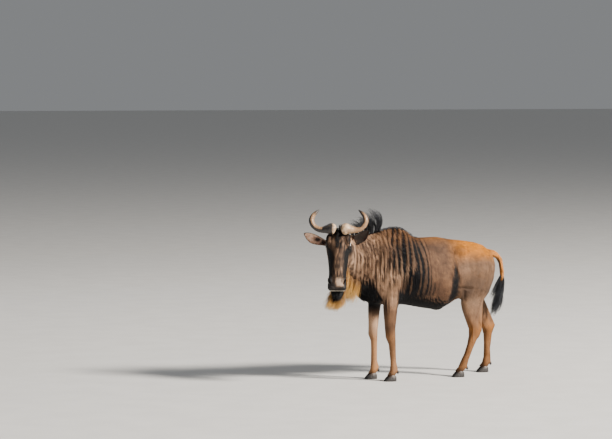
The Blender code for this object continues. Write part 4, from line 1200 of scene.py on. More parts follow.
def roots_on(host, density, seed):
    """Roots spread over a mesh, as places and normals. Density is a number for each vertex."""
    draw = np.random.default_rng(seed)
    data = host.data
    data.calc_loop_triangles()
    corners = np.empty(len(data.loop_triangles) * 3, np.int32)
    data.loop_triangles.foreach_get("vertices", corners)
    corners = corners.reshape(-1, 3)
    points, normals = mesh_points(host), mesh_normals(host)
    a, b, c = (points[corners[:, i]] for i in range(3))
    area = np.linalg.norm(np.cross(b - a, c - a), axis=1) / 2
    total = np.cumsum(area * density[corners].mean(axis=1))
    steps = np.arange(int(total[-1])) + draw.uniform(0, 1, int(total[-1]))
    pick = np.minimum(np.searchsorted(total, steps), len(corners) - 1)
    u, v = draw.uniform(size=(2, len(pick)))
    flip = u + v > 1
    u, v = np.where(flip, 1 - u, u), np.where(flip, 1 - v, v)
    weights = np.stack([1 - u - v, u, v], axis=1)[:, :, None]
    chosen = corners[pick]
    return (points[chosen] * weights).sum(axis=1), unit((normals[chosen] * weights).sum(axis=1))


def unrolled(points, origin, axis, reference, reach):
    """A place on the map for each point: the turn round an axis, and the way along it."""
    axis = np.array(axis)
    reference = np.array(reference)
    other = np.cross(axis, reference)
    arm = points - np.array(origin)
    turn = np.arctan2(arm @ other, arm @ reference) / math.tau + 0.5
    low, high = reach
    way = np.clip((arm @ axis - low) / (high - low), 0, 1)
    return 0.01 + 0.98 * np.stack([turn, way], axis=1)


def weigh(skin, name, shares):
    """Stores a weight for each vertex in a new group."""
    group = skin.vertex_groups.new(name=name)
    levels = np.round(shares * WEIGHT_STEPS).astype(int)
    for level in range(1, WEIGHT_STEPS + 1):
        group.add(np.flatnonzero(levels == level).tolist(), level / WEIGHT_STEPS, "REPLACE")


def smooth_by_region(skin):
    """Smooths the voxels' steps away, less on the head so that its lids and lips stay crisp."""
    head = head_share(mesh_points(skin))
    for name, rounds, shares in (("head", HEAD_ROUNDS, head), ("body", BODY_ROUNDS, 1 - head)):
        weigh(skin, name, shares)
        smooth = skin.modifiers.new(name, "SMOOTH")
        smooth.factor = SMOOTHING
        smooth.iterations = rounds
        smooth.vertex_group = name


def thin(skin):
    """Thins the mesh, but not in the head, and less where the trunk is striped."""
    points = mesh_points(skin)
    forward, _, up = spans(points)
    striped = ease(-0.70, -0.60, forward) * ease(0.32, 0.22, forward) * ease(0.56, 0.62, up)
    weigh(skin, "thin", (1 - head_share(points)) * (1 - 0.75 * striped))
    thinner = skin.modifiers.new("thin", "DECIMATE")
    thinner.ratio = SKIN_SHARE
    thinner.vertex_group = "thin"
    thinner.vertex_group_factor = THIN_BIAS
    evaluated(skin)


def make_skin():
    """One skin over all the flesh, as deep below the solids as the coat is thick."""
    skin = melt_flesh()
    smooth_by_region(skin)
    thin(skin)
    cut_mouth(skin)
    for mirror in (1, -1):
        cut_nostril(skin, mirror)
    keep_largest(skin)
    points, normals = mesh_points(skin), mesh_normals(skin)
    depth = by_region(regions(points), COAT_DEPTH) * hair_share(points) + relief(points)
    set_points(skin, points - normals * depth[:, None])
    return skin


def tufts(name, roots, normals, lie, seed, origin, axis, reference, reach):
    """One piece of the coat: a tuft at each root, lying over those behind it."""
    draw = np.random.default_rng(seed)
    count = len(roots)
    shares = regions(roots)
    haired = hair_share(roots)
    length = by_region(shares, TUFT_LENGTH) * draw.uniform(0.7, 1.25, count) * (0.35 + 0.65 * haired)
    width = by_region(shares, TUFT_HALF_WIDTH) * draw.uniform(0.7, 1.2, count) * (0.5 + 0.5 * haired)
    across = np.cross(lie, normals)
    stray = across * draw.normal(0, 0.12, (count, 1))
    rise = draw.uniform(0.4, 1.5, (count, 1)) * by_region(shares, TUFT_RISE)[:, None]
    way = unit(lie + stray + normals * rise)
    sides = across + normals * draw.normal(0, 0.20, (count, 1))
    made = strands(roots - normals * ROOT_SINK, way, way, sides, length, width, width * 0.5, 1)
    values = markings(roots)
    values["shade"] = np.clip(draw.normal(0.5, 0.24, count) + 0.20 * waves(roots, 0.05, seed), 0, 1)
    facing = unit(normals + lie * 0.10 + draw.normal(0, 0.13, (count, 3)))
    return grown(name, made, values, unrolled(roots, origin, axis, reference, reach), facing)


def coat_parts():
    """Each piece of the coat: its name, where it lies, and the axis that its map turns about."""
    parts = []
    trunk = (place(0, 0, 0.95), FORWARD, LEFT, (-1.1, 0.7))
    head = (on_face(0, -0.08, 0), FACE_DOWN, HEAD_LEFT, (-0.12, 0.60))
    for side, mirror in (("left", 1), ("right", -1)):
        for end, low, high in (("rear", -FAR, -0.60), ("middle", -0.60, -0.25), ("front", -0.25, FAR)):
            parts.append((f"coat_body_{end}_{side}", ("body",), mirror, (low, high), trunk))
        for end, low, high in (("rear", -FAR, 0.12), ("front", 0.12, FAR)):
            parts.append((f"coat_mantle_{end}_{side}", ("mantle",), mirror, (low, high), trunk))
        parts.append((f"coat_head_{side}", ("head",), mirror, (-FAR, FAR), head))
        for end, rows, low, high in (("fore", FORELEG_LEFT, -0.3, FAR), ("hind", HINDLEG_LEFT, -FAR, -0.3)):
            middle = rows[UPPER_LEG]
            leg = (place(middle[0], middle[1] * mirror, 0), UP, LEFT, (0.0, 0.75))
            parts.append((f"coat_{end}leg_{side}", ("leg", "foot"), mirror, (low, high), leg))
    tail = (place(-1.06, 0, 0), UP, LEFT, (0.5, 1.1))
    parts.append(("coat_tail", ("tail",), 0, (-FAR, FAR), tail))
    return parts


def make_coat(skin):
    """The short fur, as thin tufts all over the skin, in pieces by region and side."""
    points = mesh_points(skin)
    density = by_region(regions(points), TUFTS_PER_METRE) * np.clip(hair_share(points) * 1.6, 0, 1)
    roots, normals = roots_on(skin, density, 5)
    lie = lie_of(roots, normals)
    clear = np.linalg.norm(lie, axis=1) > UNCLEAR
    roots, normals, lie = roots[clear], normals[clear], unit(lie[clear])
    shares = regions(roots)
    strongest = np.argmax(np.stack([shares[name] for name in REGIONS]), axis=0)
    forward, left, _ = spans(roots)
    sideways = np.where(strongest == REGIONS.index("head"), in_head(roots)[2], left)
    pieces = []
    for seed, (name, names, mirror, (low, high), layout) in enumerate(coat_parts(), 100):
        mine = np.isin(strongest, [REGIONS.index(region) for region in names])
        mine &= (forward >= low) & (forward < high)
        if mirror:
            mine &= sideways * mirror >= 0
        pieces.append(tufts(name, roots[mine], normals[mine], lie[mine], seed, *layout))
    return pieces


def hair(name, guides, layout):
    """Fine hairs round each guide lock. They part a little toward their tips."""
    per_guide, finest, loose, seed = HAIRS[name]
    draw = np.random.default_rng(seed)
    roots, starts, ends, sides = (np.array([guide[i] for guide in guides], float) for i in range(4))
    sizes = np.array([guide[4] for guide in guides])
    pick = np.repeat(np.arange(len(guides)), per_guide)
    count = len(pick)
    length, half_width, half_thickness = sizes[pick].T
    starts, ends = unit(starts)[pick], unit(ends)[pick]
    across = unit(sides[pick] - starts * dot(sides[pick], starts))
    front = np.cross(across, starts)
    spread, deep = draw.uniform(-1, 1, (count, 1)), draw.normal(0, 0.6, (count, 1))
    offset = across * spread * half_width[:, None] * loose + front * deep * half_thickness[:, None]
    starts = starts + across * spread * 0.16 * loose + draw.normal(0, 0.08 * loose, (count, 3))
    ends = ends - across * spread * 0.08 * loose + draw.normal(0, 0.15 * loose, (count, 3))
    length = length * draw.uniform(0.62, 1.06, count)
    width = finest * draw.uniform(0.6, 1.3, count)
    slide = draw.uniform(-ROOT_BURIED, -ROOT_BURIED + ROOT_SLIDE * max(loose - 0.6, 0), (count, 1))
    begin = roots[pick] + offset + unit(starts) * slide
    length = length - slide[:, 0]
    twist = across + draw.normal(0, 0.5, (count, 3))
    made = strands(begin, starts, ends, twist, length, width, width * 0.7, HAIR_STEPS)
    sway = draw.normal(0, 1, (len(guides), 1, 1)) * draw.uniform(0.5, 1, (len(guides), 1, 1))
    along = made[2][None, :, None]
    wave = np.sin(along * 5.0 + draw.uniform(0, 6, (count, 1, 1))) * along * HAIR_WAVE * loose
    made[0][:] += front[:, None, :] * wave + across[:, None, :] * along * sway[pick] * HAIR_SWAY
    values = {"shade": np.clip(draw.normal(0.5, 0.25, count), 0, 1)}
    return grown(name, made, values, unrolled(begin, *layout))


def guide(root, start, end, side, sizes):
    """One lock: its root, the ways it starts and ends, the way across its flat side, its sizes."""
    return (root, start.normalized(), end.normalized(), side, sizes)


def dropped(surface, point, way=-UP):
    """Where a ray from the point first meets the surface, straight below it if no way is given."""
    return surface.ray_cast(point, way)[0]


def lock_sizes(draw, sizes):
    """This lock's length, half width and half thickness, with the row's own variety."""
    length, vary, half_width, half_thickness = sizes
    return length + draw.uniform(-vary, vary), half_width * draw.uniform(0.8, 1.2), half_thickness


def mane_guides(surface):
    """Locks along the crest. They rise and arc forward, the rear ones highest."""
    draw = random.Random(11)
    (rear_forward, rear_left), (front_forward, front_left) = MANE_SPAN
    for i in range(MANE_COUNT):
        share = i / (MANE_COUNT - 1)
        aside = (-1, 1, 0)[i % 3] * 0.011
        forward = rear_forward + (front_forward - rear_forward) * share
        left = rear_left + (front_left - rear_left) * share + aside
        lean = LEFT * (aside * 14 + draw.uniform(-0.12, 0.12))
        start = UP + FORWARD * (-0.75 + 0.80 * share) + lean
        end = FORWARD * 1.2 + UP * (0.35 - 0.55 * share) + lean * 2
        length, half_width, half_thickness = lock_sizes(draw, MANE_LOCKS)
        sizes = (length * (1 - 0.50 * share), half_width, half_thickness)
        side = UP - FORWARD + LEFT * draw.uniform(-0.8, 0.8)
        yield guide(dropped(surface, place(forward, left, 2.0)), start, end, side, sizes)


def ridge_guides(surface):
    """Short upright hair behind the mane, over the withers."""
    draw = random.Random(12)
    for i in range(RIDGE_COUNT):
        share = i / (RIDGE_COUNT - 1)
        root = dropped(surface, place(0.13 - 0.36 * share, draw.uniform(-0.008, 0.008), 2.0))
        start = UP * 0.6 - FORWARD * 0.6 + LEFT * draw.uniform(-0.3, 0.3)
        yield guide(root, start, -FORWARD - UP * 0.25, LEFT, (0.060 * (1 - 0.55 * share), 0.012, 0.008))


def forelock_guides(surface):
    """Locks between the horns that hang over the forehead."""
    draw = random.Random(23)
    for i in range(FORELOCK_COUNT):
        share = i / (FORELOCK_COUNT - 1)
        side = 0.008 * (-1) ** i
        root = dropped(surface, by_poll(side, 0.3, -0.045 + 0.055 * share))
        start = UP * (1.2 - 0.7 * share) + HEAD_FORWARD * (0.3 + share) + HEAD_LEFT * side * 3
        end = FACE_DOWN * (0.2 + share) + HEAD_FORWARD * 0.5 + HEAD_LEFT * draw.uniform(-0.1, 0.1)
        yield guide(root, start, end, HEAD_LEFT, lock_sizes(draw, FORELOCKS))


def brow_guides(surface):
    """Dark hair that lies flat down the forehead, below the forelock."""
    draw = random.Random(29)
    for _ in range(BROW_COUNT):
        along, side = draw.uniform(-0.01, 0.120), draw.gauss(0.0, 0.011)
        start = FACE_DOWN + FACE_OUT * 0.30 + HEAD_LEFT * draw.uniform(-0.2, 0.2)
        end = FACE_DOWN - FACE_OUT * 0.15 + HEAD_LEFT * draw.uniform(-0.2, 0.2)
        root = dropped(surface, on_face(along, 0.3, side), -FACE_OUT)
        yield guide(root, start, end, HEAD_LEFT, (0.044 * draw.uniform(0.7, 1.2), 0.009, 0.003))


def chin_guides(surface):
    """Short dark bristles that hang from the chin."""
    draw = random.Random(31)
    for _ in range(CHIN_COUNT):
        side, out = draw.uniform(-0.036, 0.036), draw.uniform(-0.105, -0.045)
        start = FACE_DOWN + HEAD_LEFT * side * 9 + FACE_OUT * (0.9 + 12 * (out + 0.045))
        end = -UP - HEAD_FORWARD * 0.2 + HEAD_LEFT * side * 3
        root = dropped(surface, on_face(0.70, out, side), -FACE_DOWN)
        yield guide(root, start, end, HEAD_LEFT, (0.030 * draw.uniform(0.6, 1.2), 0.009, 0.007))


def beard_guides(surface):
    """Locks from the throat along the jaw to the chin, blown forward as they hang."""
    draw = random.Random(37)
    rows = through(BEARD_PATH, BEARD_ROWS)
    for i in range(3 * len(rows)):
        share = (i // 3) / (len(rows) - 1)
        side = (-1, 0, 1)[i % 3] * 0.028 + draw.uniform(-0.005, 0.005)
        start = HEAD_LEFT * side * 7 - UP + FORWARD * 0.3
        sweep = FORWARD * draw.uniform(0.5, 1.1) + HEAD_FORWARD * draw.uniform(-0.2, 0.2)
        length, half_width, half_thickness = lock_sizes(draw, BEARD_LOCKS)
        sizes = (length * (1 + 0.35 * share - 0.80 * share**2), half_width, half_thickness)
        across = HEAD_LEFT * draw.uniform(0.5, 1.0) + HEAD_FORWARD * draw.uniform(-0.8, 0.8)
        root = dropped(surface, place(*rows[i // 3], 0.3) + HEAD_LEFT * side, UP)
        yield guide(root, start, sweep - UP, across, sizes)


def tuft_guides():
    """Long locks round the lower half of the dock, hanging to the tip of the tail."""
    draw = random.Random(53)
    rows = through(TAIL, 6)
    high, low = TUFT_SPAN
    for i in range(TUFT_COUNT):
        height = high + (low - high) * i / (TUFT_COUNT - 1)
        row = min(rows, key=lambda row: abs(row[2] - height) + (row[0] > -1.03))
        turn = i * 2.4
        outward = FORWARD * math.cos(turn) + LEFT * math.sin(turn)
        root = place(*row[:3]) + outward * row[3] * 0.4
        start = outward * 0.45 - UP + FORWARD * 0.2
        end = FORWARD * draw.uniform(0.55, 0.90) - outward * 0.25 - UP
        yield guide(root, start, end, outward.cross(UP), lock_sizes(draw, TUFT_LOCKS))


def make_hair(skin):
    """The long hair: mane, withers, forelock, brow, chin, beard and the tail's tuft."""
    surface = surface_of(skin)
    crest = (place(0.25, 0, 1.0), FORWARD, UP, (-0.3, 0.6))
    brow = (POLL_POINT, FACE_DOWN, HEAD_LEFT, (-0.1, 0.2))
    chin = (on_face(0.5, -0.05, 0), FACE_DOWN, HEAD_LEFT, (-0.1, 0.2))
    jaw = (place(0.5, 0.1, 0.8), FORWARD, HEAD_LEFT, (-0.2, 0.2))
    dock = (place(-1.07, 0, 0), UP, LEFT, (0.4, 0.9))
    rows = (
        ("mane", mane_guides(surface), crest),
        ("ridge_hair", ridge_guides(surface), crest),
        ("forelock", forelock_guides(surface), brow),
        ("brow_hair", brow_guides(surface), brow),
        ("chin_hair", chin_guides(surface), chin),
        ("beard", beard_guides(surface), jaw),
        ("tail_tuft", tuft_guides(), dock),
    )
    return [hair(name, list(guides), layout) for name, guides, layout in rows]


def add_rings(name, rings, values):
    """An object lofted through rings, with a number under each name for each ring and point."""
    mesh = bmesh.new()
    layers = {key: mesh.verts.layers.float.new(key) for key in values}
    add_loft(mesh, rings)
    mesh.verts.ensure_lookup_table()
    count = len(rings[0])
    for index, vert in enumerate(mesh.verts):
        for key, layer in layers.items():
            vert[layer] = values[key](index // count, index % count)
    obj = object_from(name, mesh)
    shade_smooth(obj)
    return obj


def make_horn(label, mirror):
    """A smooth boss that runs out, dips, rises and turns in to its point."""
    rows = through(HORN, 9)
    centres = [by_poll(side * mirror, up, forward) for side, up, forward, *_ in rows]
    mesh = bmesh.new()
    depths, heights = [row[4] for row in rows], [row[3] for row in rows]
    add_tube(mesh, centres, HEAD_FORWARD, depths, heights, 2.0, HORN_SIDES)
    horn = object_from(f"horn_{label}_fine", mesh)
    points, normals = mesh_points(horn), mesh_normals(horn)
    along = np.arange(len(points)) // HORN_SIDES / (len(rows) - 1)
    boss = ease(0.42, 0.18, along)
    rough = waves(points, 0.016, 41) * 0.0005 + waves(points, 0.006, 42) * 0.0004
    rings = 0.0006 * np.sin(along * 150 + 1.5 * waves(points, 0.03, 43)) * ease(0.16, 0.30, along)
    cracks = -0.0016 * ease(0.55, 0.95, waves(points * np.array((1, 1, 0.5)), 0.022, 44))
    lift = boss * (rough + cracks) + rings * ease(0.95, 0.75, along)
    set_points(horn, points + normals * lift[:, None])
    # Painted shade: where lit is low, mostly where a horn faces the animal's right and away from the key
    # light, the horn is darkened.
    height = normals @ np.array(UP - HEAD_FORWARD * 0.25)
    on_height, on_tube, on_boss = HORN_SHADE[label]
    lit = normals @ np.array(HEAD_LEFT) + (height * on_height + on_tube) * (1 - boss) + on_boss * boss
    under = ease(0.12, -0.26, lit + 0.12 * waves(points, 0.05, 45))
    set_values(horn.data, {"along": along, "under": under, "boss": boss})
    shade_smooth(horn)
    return horn


def make_eye(label, mirror):
    """An eyeball with a slight cornea. It knows how far each point is from its middle."""
    along, out, side, radius = EYE
    centre = on_face(along, out, side * mirror)
    gaze = (HEAD_LEFT * mirror + FACE_OUT * 0.25 + HEAD_FORWARD * 0.15).normalized()
    level = (FACE_OUT - gaze * FACE_OUT.dot(gaze)).normalized()
    mesh = bmesh.new()
    add_ball(mesh, centre, (level, gaze.cross(level), gaze), (radius,) * 3, 64)
    eye = object_from(f"eye_{label}_fine", mesh)
    points = mesh_points(eye)
    arm = (points - np.array(centre)) / radius
    wide, high, middle = (arm @ np.array(axis) for axis in (level, gaze.cross(level), gaze))
    set_points(eye, points + arm * radius * (CORNEA * ease(0.80, 1.0, middle))[:, None])
    set_values(eye.data, {
        "iris": ease(0.70, 0.76, middle),
        "pupil": ease(1.15, 0.85, np.hypot(wide / PUPIL[0], high / PUPIL[1])) * (middle > 0),
    })
    shade_smooth(eye)
    return eye


def ear_ring(centre, across, facing, half_width, depth, curl, rim):
    """A crescent: the back of the cup one way round and its inside the other."""
    back, inside = [], []
    for i in range(EAR_SIDES):
        turn = math.radians(curl) * (2 * i / (EAR_SIDES - 1) - 1)
        for arc, thick in ((back, 0.0), (inside, rim)):
            sideways = across * (half_width - thick) * math.sin(turn)
            arc.append(centre + sideways - facing * (depth - thick) * math.cos(turn))
    return back + inside[::-1]


def ear_axes(label, mirror):
    """The root and tip of an ear, and the ways along it, out of its opening and across it."""
    root = by_poll(EAR_ROOT[0] * mirror, *EAR_ROOT[1:])
    side, up, forward = EAR_TIPS[label]
    tip = by_poll(side * mirror, up, forward)
    ahead = (tip - root).normalized()
    facing = HEAD_LEFT * EAR_FACING[0] * mirror + UP * EAR_FACING[1] + HEAD_FORWARD * EAR_FACING[2]
    facing = (facing - ahead * facing.dot(ahead)).normalized()
    return root, tip, ahead, facing, ahead.cross(facing)


def hollow_shade(share, edge):
    """How much painted shade a place gets in the hollow of an ear: at its root, and in an oval further out.
    """
    oval = max(1.0 - math.hypot((share - 0.44) / 0.22, (edge - 0.08) / 0.46), 0.0)
    return min(max(1.5 * oval, (0.38 - share) / 0.12), 1.0)


def make_ear(label, mirror):
    """A cupped ear with a thin rolled edge."""
    root, tip, _, facing, across = ear_axes(label, mirror)
    rows = through(EAR, 8)
    rim = EAR_THICKNESS * 0.8
    rings = [
        ear_ring(root.lerp(tip, row[0]) + across * row[4] * mirror, across, facing, *row[1:4], rim)
        for row in rows
    ]

    def edge_at(i):
        return abs(2 * min(i, 2 * EAR_SIDES - 1 - i) / (EAR_SIDES - 1) - 1)

    values = {
        "along": lambda row, i: rows[row][0],
        "inside": lambda row, i: float(i >= EAR_SIDES),
        "edge": lambda row, i: edge_at(i),
        # Painted shade: the hollow of each ear, and the whole inside of the left one.
        "shaded": lambda row, i: max(EAR_INSIDE_SHADE[label], hollow_shade(rows[row][0], edge_at(i))),
    }
    return add_rings(f"ear_{label}_fine", rings, values)


def ear_fur(ear, label, mirror):
    """Short fur over the ear, and longer hair that crosses its opening."""
    root, tip, ahead, facing, across = ear_axes(label, mirror)
    found = {key: stored(ear, key) for key in ("inside", "edge", "along")}
    density = EAR_HAIRS[0] * (1 - found["inside"])
    density = density + EAR_HAIRS[1] * found["inside"] * ease(0.30, 0.70, found["edge"])
    roots, normals = roots_on(ear, density * ease(0.05, 0.15, found["along"]), 62)
    draw = np.random.default_rng(61)
    lie = unit(np.array(ahead) - normals * (normals @ np.array(ahead))[:, None])
    count = len(roots)
    inner = (normals @ np.array(facing)) > 0.1
    length = np.where(inner, 0.013, 0.009) * draw.uniform(0.7, 1.2, count)
    rise = draw.uniform(0.2, 0.6, (count, 1)) * np.where(inner, 0.8, 0.35)[:, None]
    starts, ends = unit(lie + normals * rise), unit(lie - normals * 0.12)
    width = 0.0005 * draw.uniform(0.6, 1.2, count)
    sides = np.cross(lie, normals)
    made = strands(roots - normals * ROOT_SINK, starts, ends, sides, length, width, width * 0.5, 2)
    share = (roots - np.array(root)) @ np.array(ahead) / (tip - root).length
    # The painted shade of the left ear's inside also darkens the hair in its opening, through the rim
    # value.
    values = {
        "shade": draw.uniform(0, 1, count),
        "inside": inner * (1 - EAR_INSIDE_SHADE[label]),
        "rim": np.maximum(ease(0.78, 1.0, share), inner * EAR_INSIDE_SHADE[label]),
    }
    places = unrolled(roots, root, ahead, across, (0.0, (tip - root).length))
    return grown(f"ear_{label}_fur", made, values, places)


def make_claw(name, foot, mirror, side):
    """One of the two claws of a hoof, flat on the ground."""
    forward, left = foot[0], foot[1] * mirror + side * HOOF_APART
    rings = []
    for share, width, height in through(CLAW, 6):
        base = place(forward + share * HOOF_LENGTH, left - side * max(share, 0) * TOES_TURN, 0)
        across, above = LEFT * HOOF_WIDTH / 2 * width, UP * HOOF_HEIGHT * height
        ring = []
        for i in range(CLAW_ARC):
            angle = math.pi * i / (CLAW_ARC - 1)
            x, z = -signed_power(math.cos(angle), 0.7), signed_power(math.sin(angle), 0.8)
            ring.append(base + across * x + above * z)
        rings.append(ring)
    mesh = bmesh.new()
    add_loft(mesh, rings)
    claw = object_from(name + "_fine", mesh)
    points = mesh_points(claw)
    up = points[:, 2]
    ripple = 0.0006 * np.sin(up * 900 + 2 * waves(points, 0.03, 51)) * ease(0.004, 0.012, up)
    moved = points + mesh_normals(claw) * ripple[:, None]
    moved[:, 2] = np.maximum(moved[:, 2], 0)
    set_points(claw, moved)
    set_values(claw.data, {"height": up / HOOF_HEIGHT})
    shade_smooth(claw)
    return claw


def make_dewclaw(name, rows, mirror, side):
    """A small blunt claw behind the fetlock, narrower below."""
    forward, left, up, *_ = rows[FETLOCK]
    back, aside, below = DEWCLAW_PLACE
    centre = place(forward + back, left * mirror + side * aside, up + below)
    mesh = bmesh.new()
    add_ball(mesh, centre, (FORWARD, LEFT, UP), DEWCLAW, 28)
    claw = object_from(name + "_fine", mesh)
    points = mesh_points(claw)
    height = (points[:, 2] - centre.z) / DEWCLAW[2]
    inward = 0.25 * ease(-0.2, -1.0, height)
    points[:, :2] += (np.array(centre)[None, :2] - points[:, :2]) * inward[:, None]
    ripple = 0.0004 * np.sin(height * 16)
    set_points(claw, points + mesh_normals(claw) * ripple[:, None])
    set_values(claw.data, {"height": height * 0.5 + 0.5})
    shade_smooth(claw)
    return claw


def new_material(name):
    material = bpy.data.materials.new(name)
    material.use_nodes = True
    tree = material.node_tree
    return material, tree, tree.nodes["Principled BSDF"]


def link(tree, value, socket):
    """Sets a socket to a number or colour, or joins another node's output to it."""
    if isinstance(value, bpy.types.NodeSocket):
        tree.links.new(value, socket)
    elif isinstance(value, tuple) and len(value) == 3 and len(socket.default_value) == 4:
        socket.default_value = (*value, 1.0)
    else:
        socket.default_value = value


def value_of(tree, name):
    """The number stored under this name in the mesh."""
    node = tree.nodes.new("ShaderNodeAttribute")
    node.attribute_name = name
    return node.outputs["Fac"]


def noise(tree, scale, detail=4.0, stretch=(1.0, 1.0, 1.0), distortion=0.0):
    """Noise with this many forms to a metre, stretched by the axes' factors."""
    place_node = tree.nodes.new("ShaderNodeTexCoord")
    mapping = tree.nodes.new("ShaderNodeMapping")
    mapping.inputs["Scale"].default_value = stretch
    tree.links.new(place_node.outputs["Object"], mapping.inputs["Vector"])
    node = tree.nodes.new("ShaderNodeTexNoise")
    node.inputs["Scale"].default_value = scale
    node.inputs["Detail"].default_value = detail
    node.inputs["Distortion"].default_value = distortion
    tree.links.new(mapping.outputs["Vector"], node.inputs["Vector"])
    return node.outputs["Fac"]


def ramp(tree, value, low, high, start=0.0, end=1.0):
    """The value from low to high turned into start to end, and held beyond them."""
    node = tree.nodes.new("ShaderNodeMapRange")
    node.interpolation_type = "SMOOTHSTEP"
    link(tree, value, node.inputs["Value"])
    for socket, number in zip(("From Min", "From Max", "To Min", "To Max"), (low, high, start, end)):
        node.inputs[socket].default_value = number
    return node.outputs["Result"]


def blotches(tree, scale, low, high, start=0.0, end=1.0, **shape):
    """Noise that runs from start to end between the two given heights of it."""
    return ramp(tree, noise(tree, scale, **shape), low, high, start, end)


def math_of(tree, operation, a, b):
    node = tree.nodes.new("ShaderNodeMath")
    node.operation = operation
    link(tree, a, node.inputs[0])
    link(tree, b, node.inputs[1])
    return node.outputs["Value"]


def product(tree, a, b):
    return math_of(tree, "MULTIPLY", a, b)


def mix(tree, share, a, b, blend="MIX"):
    """The first colour at a share of 0, the second at 1, and a blend between."""
    node = tree.nodes.new("ShaderNodeMix")
    node.data_type = "RGBA"
    node.blend_type = blend
    link(tree, share, node.inputs[0])
    link(tree, a, node.inputs[6])
    link(tree, b, node.inputs[7])
    return node.outputs[2]


def bump(tree, shader, height, distance, strength):
    """Lets the height stand out from the surface by up to this distance, in the shader's light."""
    node = tree.nodes.new("ShaderNodeBump")
    node.inputs["Strength"].default_value = strength
    node.inputs["Distance"].default_value = distance
    tree.links.new(height, node.inputs["Height"])
    tree.links.new(node.outputs["Normal"], shader.inputs["Normal"])


def set_shader(shader, **values):
    """Sets sockets to plain numbers. Their names have _ for each space."""
    for name, value in values.items():
        shader.inputs[name.replace("_", " ")].default_value = value


def hide_colour(tree):
    """The hide's colour: brown, warmed, paled, darkened and given painted highlight as the markings say,
    whose dark and pale also hold painted shade and light.
    """
    colour = mix(tree, blotches(tree, 9.0, 0.30, 0.70, detail=5.0), BROWN_LIGHT, BROWN_DEEP)
    streak = blotches(tree, 60.0, 0.35, 0.75, stretch=(1.0, 1.0, 0.25))
    colour = mix(tree, product(tree, streak, 0.40), colour, BROWN_DEEP)
    colour = mix(tree, value_of(tree, "warm"), colour, WARM)
    colour = mix(tree, value_of(tree, "pale"), colour, PALE)
    mottle = blotches(tree, 35.0, 0.25, 0.75, 0.97, 1.06, detail=5.0)
    dark = math_of(tree, "MINIMUM", product(tree, value_of(tree, "dark"), mottle), 1.0)
    colour = mix(tree, dark, colour, DARK)
    # Painted highlight on the lower lip and the lit side of the nose pad.
    return mix(tree, value_of(tree, "painted_highlight"), colour, LIP_HIGHLIGHT)


def skin_material():
    """Short hair as bump, and bare damp skin on the nose and lips."""
    material, tree, shader = new_material("hide")
    bare = value_of(tree, "bare")
    damp = mix(tree, blotches(tree, 120.0, 0.3, 0.7), BARE_DEEP, BARE_LIGHT)
    colour = mix(tree, bare, hide_colour(tree), damp)
    link(tree, mix(tree, SKIN_SHADE, colour, BLACK), shader.inputs["Base Color"])
    link(tree, ramp(tree, bare, 0.0, 1.0, 0.75, 0.46), shader.inputs["Roughness"])
    bump(tree, shader, noise(tree, 420.0, 6.0, (1.0, 0.45, 0.35)), 0.0012, 0.8)
    set_shader(shader, Specular_IOR_Level=0.22)
    return material


def coat_material():
    """The hide's colour on each tuft, varied by tuft."""
    material, tree, shader = new_material("coat")
    shade = ramp(tree, value_of(tree, "shade"), 0.0, 1.0, *COAT_VARIETY)
    grey = tree.nodes.new("ShaderNodeCombineColor")
    for channel in ("Red", "Green", "Blue"):
        tree.links.new(shade, grey.inputs[channel])
    colour = mix(tree, 1.0, hide_colour(tree), grey.outputs["Color"], "MULTIPLY")
    link(tree, colour, shader.inputs["Base Color"])
    shine = ramp(tree, value_of(tree, "dark"), 0.4, 1.0, 0.12, 0.04)
    link(tree, shine, shader.inputs["Specular IOR Level"])
    set_shader(shader, Roughness=0.60)
    return material


def golden_material():
    """The beard: brown where it leaves the jaw, then golden, and pale at the tips."""
    material, tree, shader = new_material("golden_hair")
    colour = mix(tree, value_of(tree, "shade"), BEARD_DEEP, BEARD_GOLD)
    tip = value_of(tree, "tip")
    colour = mix(tree, ramp(tree, tip, 0.30, 1.0, 0.0, 0.60), colour, BEARD_TIP)
    colour = mix(tree, ramp(tree, tip, 0.45, 0.05, 0.0, 0.85), colour, BEARD_BROWN)
    link(tree, colour, shader.inputs["Base Color"])
    set_shader(shader, Roughness=0.50, Specular_IOR_Level=0.35)
    return material


def hair_material(name, dark, light, tip_sheen, tip_share, roughness, shine):
    """Long hair that runs from one colour to another and pales toward its tip in a painted sheen."""
    material, tree, shader = new_material(name)
    colour = mix(tree, value_of(tree, "shade"), dark, light)
    colour = mix(tree, ramp(tree, value_of(tree, "tip"), 0.35, 1.0, 0.0, tip_share), colour, tip_sheen)
    colour = mix(tree, blotches(tree, 60.0, 0.35, 0.7, 0.0, 0.35), colour, dark)
    link(tree, colour, shader.inputs["Base Color"])
    set_shader(shader, Roughness=roughness, Specular_IOR_Level=shine)
    return material


def horn_material():
    """Tan, with painted shade on its side away from the light, dark at the point, a worn pale boss and fine
    growth lines.
    """
    material, tree, shader = new_material("horn")
    along, under, boss = (value_of(tree, name) for name in ("along", "under", "boss"))
    grain = noise(tree, 90.0, 6.0, (1.0, 1.0, 0.4), 0.6)
    colour = mix(tree, ramp(tree, grain, 0.3, 0.7), HORN_TAN, HORN_GRAIN)
    colour = mix(tree, product(tree, boss, blotches(tree, 26.0, 0.35, 0.65, 0.15, 1.0)), colour, HORN_PALE)
    # Painted shade on the side away from the light, joined with the dark point.
    dark = math_of(tree, "MAXIMUM", under, ramp(tree, along, 0.80, 0.97))
    patchy = blotches(tree, 30.0, 0.25, 0.60, 0.90, 1.0)
    colour = mix(tree, product(tree, dark, patchy), colour, HORN_DARK)
    link(tree, colour, shader.inputs["Base Color"])
    link(tree, ramp(tree, grain, 0.2, 0.8, 0.26, 0.46), shader.inputs["Roughness"])
    bump(tree, shader, noise(tree, 260.0, 6.0, (1.0, 1.0, 0.5)), 0.0010, 0.6)
    return material


